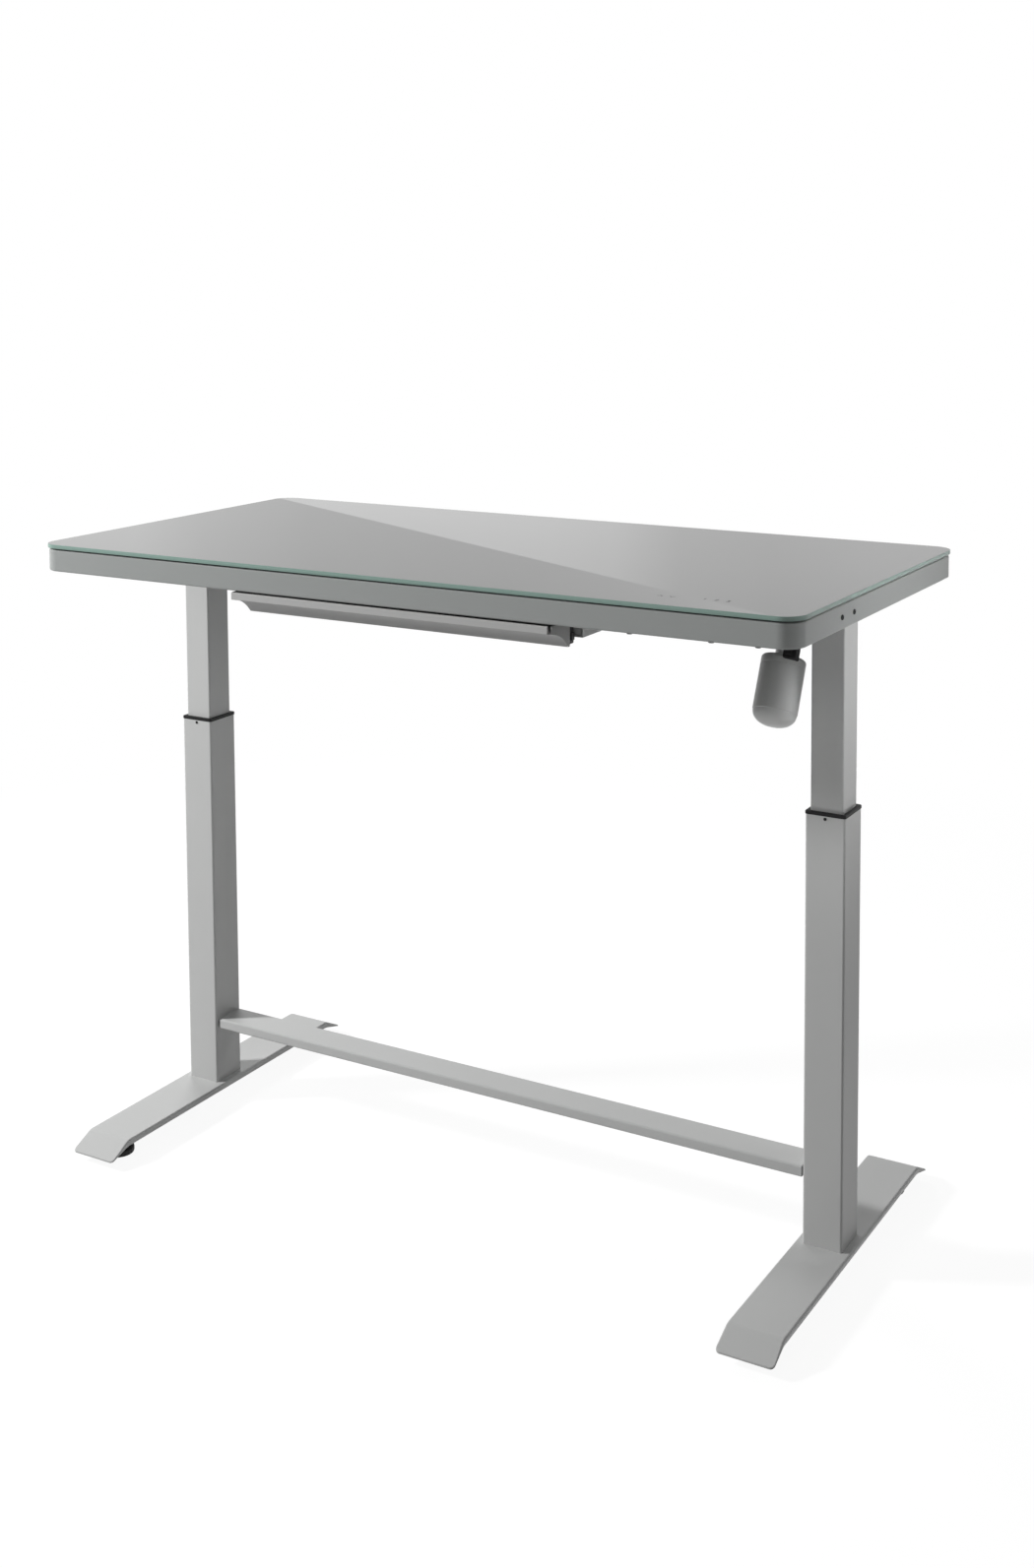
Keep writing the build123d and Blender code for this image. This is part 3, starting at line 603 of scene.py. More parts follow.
def rib_tree():
    """A row of bars along X, drawn in below."""
    g = Copies("row_of_ribs", ("Pitch", "Width", "Length", "Height"), counts=("Count",))
    size = g.vector(g.inputs["Width"], g.inputs["Length"], g.inputs["Height"])
    values = {"Size": size, "Vertices X": 3, "Vertices Y": 3, "Vertices Z": 2}
    bar = g.node("GeometryNodeMeshCube", None, values)
    bar = g.drawn_in(bar, g.level < 0.0, scale=(0.6, 0.96, 1.0))
    values = {"Count": g.inputs["Count"], "Offset": g.vector(g.inputs["Pitch"])}
    line = g.node("GeometryNodeMeshLine", {"mode": "OFFSET"}, values)
    return g.end(Points=line, Instance=bar)


# Sizes and colours that a user would change


def length_prop(name, description, default):
    return FloatProperty(name=name, description=description, default=default * MM, unit="LENGTH", precision=4)


def colour_prop(name, description, default):
    return FloatVectorProperty(
        name=name, description=description, default=default, subtype="COLOR", size=3, min=0.0, max=1.0
    )


class DeskSizes(bpy.types.PropertyGroup):
    """Radii, folds and sheet gauges of the desk's pieces."""

    arris: length_prop("Glass Arris", "Ease on the edges of the glass", 0.7)
    ink: length_prop("Ink", "Height of the printed marks over the glass", 0.006)
    top_corner: length_prop("Top Corner", "Corner radius of the glass", 30.0)
    sheet_bend: length_prop("Sheet Bend", "Outer radius of the folds of the tray", 2.6)
    sheet: length_prop("Tray Sheet", "Thickness of the tray's sheet", 1.5)
    return_flange: length_prop("Return Flange", "Width of the flange under the tray's edge", 14.0)
    foot_bend: length_prop("Foot Bend", "Outer radius of the long folds of a foot", 3.0)
    foot_sheet: length_prop("Foot Sheet", "Thickness of a foot's sheet", 2.5)
    flap_corner: length_prop("Flap Corner", "Corner radius of a foot's sloping ends", 6.0)
    can_radius: length_prop("Can Radius", "Radius of the motor can", 30.0)
    pad_edge: length_prop("Pad Edge", "Rounding of the levelling pads", 2.0)


class DeskColours(bpy.types.PropertyGroup):
    """Paints, plastics and metals of the desk."""

    frame_paint: colour_prop("Frame Paint", "Powder coat of the metal", (0.56, 0.565, 0.56))
    # Tray colour: the frame paint darkened, which paints shade onto the tray.
    apron_painted_shade: colour_prop("Apron Paint", "Powder coat of the tray", (0.34, 0.354, 0.348))
    drawer_paint: colour_prop("Drawer Paint", "Powder coat of the drawer", (0.52, 0.52, 0.515))
    glass_paint: colour_prop("Glass Paint", "Paint behind the glass", (0.30, 0.305, 0.30))
    glass_edge: colour_prop("Glass Edge", "Green of the cut glass", (0.225, 0.345, 0.3))
    black: colour_prop("Black", "Black plastic, foam and screws", (0.012, 0.012, 0.0125))
    slide: colour_prop("Slide", "Dark plastic of the slide stops", (0.045, 0.045, 0.046))
    white: colour_prop("White", "White plastic of the slides", (0.75, 0.75, 0.72))
    ribbon: colour_prop("Ribbon", "Ribbon cable", (0.5, 0.5, 0.47))
    zinc: colour_prop("Zinc", "Zinc plate", (0.62, 0.62, 0.63))
    alloy: colour_prop("Alloy", "Die-cast gear housings", (0.55, 0.55, 0.56))
    print: colour_prop("Print", "Ink of the touch marks", (0.05, 0.05, 0.05))
    paint_roughness: FloatProperty(
        name="Paint Roughness", description="Gloss of the powder coat", default=0.42, subtype="FACTOR"
    )


class DeskStage(bpy.types.PropertyGroup):
    """Camera, lamps and surroundings."""

    lens: FloatProperty(name="Lens", description="Focal length in millimetres", default=43.87)
    camera: FloatVectorProperty(
        name="Camera", description="Place of the camera", default=(1.4252, -2.3679, 1.3793),
        subtype="TRANSLATION", unit="LENGTH",
    )
    yaw: FloatProperty(name="Yaw", description="Turn to the left", default=0.5323, subtype="ANGLE")
    pitch: FloatProperty(name="Pitch", description="Tilt downwards", default=0.0835, subtype="ANGLE")
    roll: FloatProperty(name="Roll", description="Lean of the camera", default=-0.0061, subtype="ANGLE")
    shift_x: FloatProperty(name="Shift X", description="Sideways shift of the frame", default=0.0063)
    shift_y: FloatProperty(name="Shift Y", description="Upward shift of the frame", default=-0.24)
    ambient: FloatProperty(name="Ambient", description="Light from all round", default=0.03, min=0.0)


# Pieces


class DESK_OT_finishes(bpy.types.Operator):
    """Makes the finishes and gives them to the frame's own pieces"""

    bl_idname = "desk.finishes"
    bl_label = "Finishes"

    def execute(self, context):
        FINISHES.update(make_finishes(context.scene.desk_colours))
        for name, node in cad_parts.items():
            for holder in node.material_slots:
                finish = holder.material.name.split(".")[0]
                if name in ("spindle_left", "spindle_right"):
                    finish = "thread_steel"
                holder.material = FINISHES[finish]
        return {"FINISHED"}


class DESK_OT_glass(bpy.types.Operator):
    """Makes the glass top with its polished green edge"""

    bl_idname = "desk.glass"
    bl_label = "Glass Top"

    def execute(self, context):
        sizes = context.scene.desk_sizes
        low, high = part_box("glass_top")
        high.z -= sizes.ink
        ease, part = sizes.arris, sizes.arris * ROUND
        levels = [(ease, low.z), (part, low.z + part), (0.0, low.z + ease)]
        levels += [(0.0, high.z - ease), (part, high.z - part), (ease, high.z)]
        bm = bmesh.new()
        closed_skin(bm, inset_rings(levels, high, sizes.top_corner, steps=16), material=1)
        piece("glass_slab", bm, "top", "grey_glass", ("grey_glass", "glass_edge"), ("glass_top",), sharp=50.0)
        return {"FINISHED"}


class DESK_OT_tray(bpy.types.Operator):
    """Makes the folded steel tray under the glass"""

    bl_idname = "desk.tray"
    bl_label = "Folded Tray"

    plate_rim = 6 * MM
    least_corner = 2 * MM
    hole_gap = 2 * MM

    def execute(self, context):
        sizes = context.scene.desk_sizes
        low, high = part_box("desk_tray")
        sheet, bend = sizes.sheet, sizes.sheet_bend
        corner = sizes.top_corner - (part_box("glass_top")[1].x - high.x)
        flange = sheet + sizes.return_flange
        plate = flange + self.plate_rim
        inner = bend - sheet
        fold = [
            (plate, high.z, 0.0),
            (0.0, high.z, bend),
            (0.0, low.z, bend),
            (flange, low.z, 0.0),
            (flange, low.z + sheet, 0.0),
            (sheet, low.z + sheet, inner),
            (sheet, high.z - sheet, inner),
            (plate, high.z - sheet, 0.0),
        ]
        path = rounded_path(fold, 6, closed=False)
        bm = bmesh.new()
        rows = skin(bm, inset_rings(path, high, corner, steps=12, least=self.least_corner))
        gap = Vector((self.hole_gap, self.hole_gap, 0))
        hole_low, hole_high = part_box("touch_panel")
        corners = rectangle(hole_low - gap, hole_high + gap)
        hole = skin(bm, [[(*corner, z) for corner in corners] for z in (high.z, high.z - sheet)])
        for loops in ((rows[0], hole[0]), (rows[-1], hole[1])):
            edges = [bm.edges.get(pair) for loop in loops for pair in zip(loop, loop[1:] + loop[:1])]
            bmesh.ops.triangle_fill(bm, use_beauty=True, edges=edges)
        # The tray keeps the frame's paint slot but is finished with the darker copy of that paint, as painted
        # shade.
        piece("folded_tray", bm, "top", "grey_paint", ("apron_painted_shade",), ("desk_tray",))
        return {"FINISHED"}


class DESK_OT_marks(bpy.types.Operator):
    """Prints the touch marks on the glass: two arrows and three numbers"""

    bl_idname = "desk.marks"
    bl_label = "Touch Marks"

    stroke = 1.3 * MM
    # Depth of a mark in heights of ink
    sunk = 4
    arrow = ((-3.2, -1.28), (0, 3.2), (3.2, -1.28))
    one = ((-1, 2), (0, 3), (0, -3))
    two = ((-1.6, 2.4), (-0.6, 3), (0.8, 3), (1.6, 2), (1.4, 0.8), (-1.6, -3), (1.7, -3))
    three = ((-1.5, 3), (1.5, 3), (-0.2, 0.6), (1.2, 0.2), (1.6, -1.4), (0.8, -2.8), (-0.8, -3), (-1.6, -2.2))
    # The middle of each mark, its stretch across and up, and its line, in millimetres
    marks = (
        ((394.0, -244.5), (1.0, 1.0), arrow),
        ((410.0, -243.0), (1.0, -1.0), arrow),
        ((452.6, -239.0), (1.1, 1.1), one),
        ((468.0, -239.0), (1.1, 1.1), two),
        ((484.0, -239.0), (1.1, 1.1), three),
    )

    def execute(self, context):
        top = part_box("glass_top")[1].z
        levels = (top - self.sunk * context.scene.desk_sizes.ink, top)
        bm = bmesh.new()
        for middle, (across, up), shape in self.marks:
            line = [mm(*middle) + mm(u * across, v * up) for u, v in shape]
            for a, b in zip(line, line[1:]):
                along = (b - a).normalized() * self.stroke / 2
                side = Vector((-along.y, along.x))
                flat = [a - along - side, b + along - side, b + along + side, a - along + side]
                closed_skin(bm, [[(*p, z) for p in flat] for z in levels])
        piece("touch_marks", bm, "top", "black_screw", ("print",))
        return {"FINISHED"}


class DESK_OT_feet(bpy.types.Operator):
    """Makes the folded feet with their sloping ends"""

    bl_idname = "desk.feet"
    bl_label = "Feet"

    flat = 255 * MM
    run = 37 * MM
    drop = 19 * MM
    fold = 5 * MM
    skirt = 10.4 * MM
    lean = 0.25
    inner_bend = 0.3 * MM
    # Least side and inner lean in thicknesses of the sheet, greatest bend as a share of the side
    least_side = 1.02
    inner_lean = 1.28
    most_bend = 0.6
    straight = (0.0, 120 * MM, 243 * MM)
    nut_place = 235 * MM
    # Radius of a weld nut and height over the underside of the foot's sheet, in millimetres
    nut = ((4.3, 0.0), (9.0, 0.0), (9.0, -11.2), (8.2, -12.0), (4.3, -12.0))

    def execute(self, context):
        sizes = context.scene.desk_sizes
        for end, side in SIDES:
            low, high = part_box(f"foot_{end}")
            bm = bmesh.new()
            middle = (low.x + high.x) / 2
            stations = self.stations(high.y, sizes.flap_corner)
            closed_skin(bm, [self.section(sizes, middle, high, y) for y in stations])
            for row, reach in ENDS:
                place = Matrix.Translation((middle, reach * self.nut_place, high.z - sizes.foot_sheet))
                lathe(bm, all_mm(self.nut), 6, place)
            piece(f"folded_foot_{end}", bm, "base", "grey_paint", replaced=(f"foot_{end}",))
        return {"FINISHED"}

    def stations(self, reach, corner):
        """Places along the foot, closer together at the folds and rounded corners."""
        half = list(self.straight)
        half += [self.flat + self.fold * (i / 4 - 1) for i in range(9)]
        half += [reach - corner + corner * math.sin(math.pi / 2 * i / 6) for i in range(7)]
        return [-y for y in reversed(half[1:])] + half

    def top_level(self, high, y):
        """Height of the upper skin: level, then a rounded fold, then the slope."""
        past = abs(y) - self.flat
        slope = self.drop / self.run
        if past <= -self.fold:
            return high
        if past >= self.fold:
            return high - past * slope
        return high - slope * (past + self.fold) ** 2 / (4 * self.fold)

    def section(self, sizes, middle, high, y):
        """A loop round the folded sheet at one place along the foot; its sides fade out on the slope."""
        sheet, corner = sizes.foot_sheet, sizes.flap_corner
        top = self.top_level(high.z, y)
        half = high.x - middle
        rest = high.y - abs(y)
        if rest < corner:
            half -= corner - math.sqrt(max(corner**2 - (corner - rest) ** 2, 0.0))
        past = max(abs(y) - self.flat, 0.0)
        fade = min(1.0, past / (self.run - corner))
        fall = max(self.skirt + (sheet - self.skirt) * fade, sheet * self.least_side)
        bend = min(sizes.foot_bend, fall * self.most_bend)
        outside = half - self.lean * fall
        inside = half - sheet * self.inner_lean
        corners = [
            (-outside, top - fall, 0.0),
            (-half, top, bend),
            (half, top, bend),
            (outside, top - fall, 0.0),
            (outside - sheet, top - fall, 0.0),
            (inside, top - sheet, self.inner_bend),
            (-inside, top - sheet, self.inner_bend),
            (-outside + sheet, top - fall, 0.0),
        ]
        return [Vector((middle + u, y, v)) for u, v in rounded_path(corners, 5)]


class DESK_OT_motor(bpy.types.Operator):
    """Makes the motor can, which leans towards the front, and its plug"""

    bl_idname = "desk.motor"
    bl_label = "Motor"

    # The root of the motor's axis in the gear head, in millimetres; places along the axis count from it
    root = (468, 20, 915)
    lean = math.radians(25.5)
    start = 91 * MM
    end = 185 * MM
    shoulder = 5 * MM
    bead = 0.6 * MM
    bead_place = 11 * MM
    dome_height = 19.5 * MM
    dome_tip = 1 * MM
    dome_fullness = 0.8
    # Lowest and highest corners and edge radius of the plug's blocks, in millimetres
    plug_blocks = (
        ((6, 12, 79), (26, 24, 91), 1.6),
        ((8, 14, 82), (27, 29, 98), 2.2),
        ((12, 26, 84), (21, 31, 93), 1.0),
    )
    # The boot's place, then radii and places along the axis of its ends and of a rib, in millimetres
    boot_place = (16, 18, 0)
    boot_start = ((2.9, 66.0),)
    boot_end = ((4.6, 79.0), (4.6, 80.0))
    boot_rib = ((3.6, 0.0), (3.6, 1.4), (3.0, 2.0))
    boot_ribs = (67.0, 70.0, 73.0, 76.0)

    def execute(self, context):
        start, bead, shoulder = self.start, self.bead, self.shoulder
        radius = context.scene.desk_sizes.can_radius
        waist = self.end - self.dome_height
        profile = []
        for step in range(7):
            turn = math.pi / 2 * step / 6
            inset, rise = 1 - math.sin(turn), 1 - math.cos(turn)
            profile.append((radius - shoulder * inset, start + shoulder * rise))
        level = start + self.bead_place
        profile += [(radius, level), (radius - bead, level + bead)]
        profile += [(radius - bead, level + 2 * bead), (radius, level + 3 * bead)]
        profile += [(radius, waist - bead), (radius - bead, waist)]
        for step in range(1, 15):
            turn = math.pi / 2 * step / 14
            reach = max((radius - bead) * math.cos(turn) ** self.dome_fullness, self.dome_tip)
            profile.append((reach, waist + self.dome_height * math.sin(turn)))
        place = self.axis_frame()
        bm = bmesh.new()
        lathe(bm, profile, 96, place)
        piece("motor_body", bm, "top", "grey_paint", replaced=("motor_can",))
        self.plug(place)
        return {"FINISHED"}

    def axis_frame(self):
        """A frame at the motor's root whose Z runs down its axis."""
        down = Vector((0, -math.sin(self.lean), -math.cos(self.lean)))
        across = Vector((1, 0, 0))
        turn = Matrix((across, down.cross(across), down)).transposed()
        return Matrix.Translation(mm(*self.root)) @ turn.to_4x4()

    def plug(self, place):
        """The plug on the can's end and its ribbed boot."""
        bm = bmesh.new()
        for low, high, edge in self.plug_blocks:
            soft_box(bm, mm(*low), mm(*high), edge * MM)
        bmesh.ops.transform(bm, matrix=place, verts=bm.verts)
        ribs = [(radius, start + level) for start in self.boot_ribs for radius, level in self.boot_rib]
        boot = all_mm((*self.boot_start, *ribs, *self.boot_end))
        lathe(bm, boot, 24, place @ Matrix.Translation(mm(*self.boot_place)))
        piece("lead_plug", bm, "top", "black_plastic", replaced=("motor_plug",))


class DESK_OT_collars(bpy.types.Operator):
    """Makes the black guide collars between the columns"""

    bl_idname = "desk.collars"
    bl_label = "Collars"

    corner = 3 * MM
    corner_share = 0.04
    # Inset from the side of the collar's box and height over its top, in millimetres
    rim = (
        (0.0, -3.4), (-0.1, -3.4), (-0.1, -4.6), (-0.4, -4.6), (-0.7, -4.3), (-0.7, -0.9),
        (-0.4, -0.3), (0.4, 0.0), (4.2, 0.0), (4.7, -0.4),
    )
    bore_inset = 4.7 * MM
    sleeve_inset = 1.6 * MM
    sleeve_top = -3.4 * MM

    def execute(self, context):
        for end, side in SIDES:
            low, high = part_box(f"collar_{end}")
            middle = (low + high) / 2
            path = [(inset * MM, high.z + level * MM) for inset, level in self.rim]
            path += [(self.bore_inset, low.z), (self.sleeve_inset, low.z)]
            path += [(self.sleeve_inset, high.z + self.sleeve_top)]
            bm = bmesh.new()
            rings = inset_rings(path, high - middle, self.corner, 8, middle, self.corner_share)
            skin(bm, rings, loop=True)
            piece(f"guide_collar_{end}", bm, "base", "black_plastic", replaced=(f"collar_{end}",))
        return {"FINISHED"}


class DESK_OT_crossbar(bpy.types.Operator):
    """Makes the crossbar, a flat tube with rounded edges"""

    bl_idname = "desk.crossbar"
    bl_label = "Crossbar"

    wall = 1.5 * MM
    edge = 3 * MM
    ease = 0.4 * MM
    overrun = 3.3 * MM

    def execute(self, context):
        low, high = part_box("crossbar")
        middle = (low + high) / 2
        half = high - middle
        wall, ease, reach = self.wall, self.ease, high.x + self.overrun
        stations = [(-reach, ease), (ease - reach, 0.0), (reach - ease, 0.0), (reach, ease)]
        stations += [(reach, wall), (-reach, wall)]
        bm = bmesh.new()
        rings = []
        for x, inset in stations:
            ring = rounded_ring(half.y - inset, half.z - inset, self.edge - inset, 6)
            rings.append([Vector((x, middle.y + p.x, middle.z + p.y)) for p in ring])
        skin(bm, rings, loop=True)
        piece("flat_crossbar", bm, "base", "grey_paint", replaced=("crossbar",))
        return {"FINISHED"}


class DESK_OT_levellers(bpy.types.Operator):
    """Makes the levelling feet with their ribbed pads and threaded studs"""

    bl_idname = "desk.levellers"
    bl_label = "Levelling Feet"

    rim_top = 7.5 * MM
    rim_ease = (0.6 * MM, 0.8 * MM)
    groove = 0.5 * MM
    # Radius and height of the pad over its rim, in millimetres
    crown = ((20.0, 11.6), (19.0, 12.0), (8.0, 12.0))
    stud_base = 12 * MM
    stud_radius = 4 * MM
    stud_sunk = 0.5 * MM
    stud_plain = 1 * MM
    stud_point = 0.8 * MM
    pitch = 1.25 * MM
    thread_depth = 0.55 * MM

    def execute(self, context):
        sizes = context.scene.desk_sizes
        for end, side in SIDES:
            for row, reach in ENDS:
                node = f"levelling_foot_{row}_{end}"
                low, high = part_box(node)
                middle = (low + high) / 2
                place = Matrix.Translation((middle.x, middle.y, low.z))
                bm = bmesh.new()
                self.pad(bm, place, (high.x - low.x) / 2, sizes.pad_edge)
                self.stud(bm, place, high.z - low.z)
                piece(f"level_{row}_{end}", bm, node, "black_plastic", replaced=(node,))
        return {"FINISHED"}

    def pad(self, bm, place, radius, edge):
        """A round pad with grip ribs round its rim."""
        groove, rim, part = self.groove, self.rim_top, edge * ROUND
        inset, rise = self.rim_ease
        profile = [(radius - edge, 0.0, 0.0), (radius - part, part, 0.0), (radius, edge, groove)]
        profile += [(radius, rim, groove), (radius - inset, rim + rise, 0.0)]
        profile += [(r * MM, height * MM, 0.0) for r, height in self.crown]
        closed_skin(bm, [circle(r, 96, height, place, cut) for r, height, cut in profile])

    def stud(self, bm, place, tip):
        """A threaded stud, its thread shown as a stack of grooves."""
        radius, pitch, point = self.stud_radius, self.pitch, self.stud_point
        level = self.stud_base + self.stud_plain
        profile = [(radius, self.stud_base - self.stud_sunk), (radius, level)]
        while level + pitch < tip - self.stud_plain:
            profile += [(radius - self.thread_depth, level + pitch / 2), (radius, level + pitch)]
            level += pitch
        profile += [(radius, tip - point), (radius - point, tip)]
        lathe(bm, profile, 24, place)


class DESK_OT_drawer(bpy.types.Operator):
    """Makes the curved drawer front, its end caps, the slide stops and the rails' tabs"""

    bl_idname = "desk.drawer"
    bl_label = "Drawer Front"

    # Sizes of the front's profile, in millimetres
    sheet = 2.5
    lip_depth = 6.5
    lip_face = 10.2
    lip_height = 11.0
    lip_slope = 3.0
    lip_edges = (0.8, 0.9)
    cap_drop = 0.6
    curve_middle = (28.5, 18.0)
    curve_end = 48.0
    flange_height = 26.0
    # Gap between the lip's ends and the end caps, and the short step down to it
    lip_gap = 1.5 * MM
    lip_step = 0.05 * MM
    cap_ease = 0.4 * MM
    # Slide stop blocks: reach from the tray's wall, heights, clearance at each end, edge, in millimetres
    stop_blocks = (
        ((0.0, 7.0), (871.0, 900.5), (0.0, 0.6), 1.4),
        ((4.0, 9.5), (876.0, 886.0), (3.0, 3.0), 0.8),
    )
    tab_ease = 0.2 * MM
    tab_sheet = 1.5 * MM
    tab_edge = 0.3 * MM

    def execute(self, context):
        low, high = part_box("drawer_front")
        lip, back, bottom, top = (value / MM for value in (low.y, high.y, low.z, high.z))
        sheet, root, under = self.sheet, lip + self.lip_depth, top - self.lip_height
        across, down = self.curve_middle
        sweep = self.through([(root, under), (lip + across, top - down), (lip + self.curve_end, bottom)], 14)
        inside = [(y + sheet / 2, z + sheet) for y, z in reversed(sweep)]
        upper, lower = self.lip_edges
        corners = [(root, top - self.lip_slope, 0), (lip, top, upper)]
        corners += [(lip, top - self.lip_face, lower), (root, under, 0)]
        front = [tuple(p) for p in rounded_path(corners, 4)[1:-1]] + sweep + [(back, bottom)]
        flange = [(back, bottom + self.flange_height), (back - sheet, bottom + self.flange_height)]
        flange += [(back - sheet, bottom + sheet)]
        lip_back = [(lip + sheet, top - self.lip_face + sheet), (lip + sheet, top)]
        shell = front + flange + inside + lip_back
        cut = [(root, min(z, under)) if y < root else (y, z) for y, z in shell]
        near, far = self.lip_gap, self.lip_gap + self.lip_step
        stations = [(cut, low.x), (cut, low.x + near), (shell, low.x + far)]
        stations += [(shell, high.x - far), (cut, high.x - near), (cut, high.x)]
        bm = bmesh.new()
        closed_skin(bm, [[self.upright(p, x) for p in all_mm(line)] for line, x in stations])
        piece("curved_front", bm, "drawer", "drawer_paint", replaced=("drawer_front",))
        whole = [(root, top - self.cap_drop)] + sweep + [(back, bottom), (back, top)]
        for end, side in SIDES:
            low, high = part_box(f"drawer_end_cap_{end}")
            bm = bmesh.new()
            prism(bm, all_mm(whole), self.upright, low.x, high.x, self.cap_ease)
            piece(f"front_end_{end}", bm, "drawer", "drawer_paint", replaced=(f"drawer_end_cap_{end}",))
            self.stop(end, side)
            self.tab(end)
        return {"FINISHED"}

    def stop(self, end, side):
        """The dark block at the front of a slide."""
        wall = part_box("drawer_tray")[(side + 1) // 2].x
        start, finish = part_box("drawer_front")[1].y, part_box(f"drawer_rail_{end}")[0].y
        bm = bmesh.new()
        for reaches, levels, clear, edge in self.stop_blocks:
            near, far = sorted(wall + side * reach * MM for reach in reaches)
            low = (near, start + clear[0] * MM, levels[0] * MM)
            high = (far, finish - clear[1] * MM, levels[1] * MM)
            soft_box(bm, low, high, edge * MM)
        piece(f"slide_stop_{end}", bm, "drawer", "black_plastic", ("slide_plastic",))

    def tab(self, end):
        """The folded tab that closes the front end of a moving rail."""
        low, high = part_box(f"drawer_rail_{end}")
        ease = Vector((self.tab_ease, 0, self.tab_ease))
        high.y = low.y + self.tab_sheet
        bm = bmesh.new()
        soft_box(bm, low + ease, high - ease, self.tab_edge)
        piece(f"rail_tab_{end}", bm, "drawer", "grey_paint")

    def upright(self, point, x):
        """A point of the profile stood up at a place along X."""
        return Vector((x, point.x, point.y))

    def through(self, points, steps):
        """A smooth curve through three points."""
        (y0, z0), (y1, z1), (y2, z2) = points
        first = math.dist(points[0], points[1])
        bend = first / (first + math.dist(points[1], points[2]))
        line = []
        for step in range(steps + 1):
            t = step / steps
            a = (t - bend) * (t - 1) / bend
            b = t * (t - 1) / (bend * (bend - 1))
            c = t * (t - bend) / (1 - bend)
            line.append((a * y0 + b * y1 + c * y2, a * z0 + b * z1 + c * z2))
        return line


class DESK_OT_controls(bpy.types.Operator):
    """Makes the control box with its vents, and the pins of its mains inlet"""

    bl_idname = "desk.controls"
    bl_label = "Control Box"

    corner = 4.2 * MM
    corner_share = 0.5
    boss_inset = 9 * MM
    # Inset and height over the underside, in millimetres: rounded edge, then the seam of the lid
    side = ((3, 0), (1, 0.7), (0.2, 2.4), (0, 4), (0, 8.6), (0.6, 9), (0.6, 9.5), (0, 9.9))
    # Radius and height of a screw boss and of an inlet pin, in millimetres
    boss = ((3.4, 0.2), (3.4, -0.2), (3.0, -0.5), (1.8, -0.5), (1.5, 0.1))
    pin = ((0.7, 0), (1.1, 0.4), (1.1, 2))
    pin_offset = 4.5 * MM
    pin_inset = 0.4 * MM
    vents_start = -25 * MM
    vents_sizes = {"Pitch": 5 * MM, "Width": 2.4 * MM, "Length": 34 * MM, "Height": 1.2 * MM, "Count": 11}

    def execute(self, context):
        low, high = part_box("control_box")
        middle = (low + high) / 2
        half = high - middle
        path = [(inset * MM, low.z + level * MM) for inset, level in self.side] + [(0, high.z)]
        bm = bmesh.new()
        closed_skin(bm, inset_rings(path, half, self.corner, 6, middle, self.corner_share))
        for x in (-1, 1):
            for y in (-1, 1):
                out = Vector((x * (half.x - self.boss_inset), y * (half.y - self.boss_inset), -half.z))
                lathe(bm, all_mm(self.boss), 20, Matrix.Translation(middle + out))
        piece("control_case", bm, "top", "black_plastic", replaced=("control_box",))
        self.vents(middle, low)
        self.pins()
        return {"FINISHED"}

    def vents(self, middle, low):
        values = {**self.vents_sizes, "Finish": FINISHES["black_plastic"]}
        bm = grow(rib_tree(), bpy.data.meshes.new("start"), values)
        shift = Vector((middle.x + self.vents_start, middle.y, low.z))
        bmesh.ops.translate(bm, vec=shift, verts=bm.verts)
        piece("vent_ribs", bm, "top", "black_plastic")

    def pins(self):
        low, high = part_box("mains_inlet")
        middle = (low + high) / 2
        turn = Matrix.Rotation(math.pi / 2, 4, "Y")
        bm = bmesh.new()
        for y in (-self.pin_offset, self.pin_offset):
            spot = Vector((low.x + self.pin_inset, middle.y + y, middle.z))
            lathe(bm, all_mm(self.pin), 16, Matrix.Translation(spot) @ turn)
        piece("inlet_pins", bm, "top", "zinc_steel")


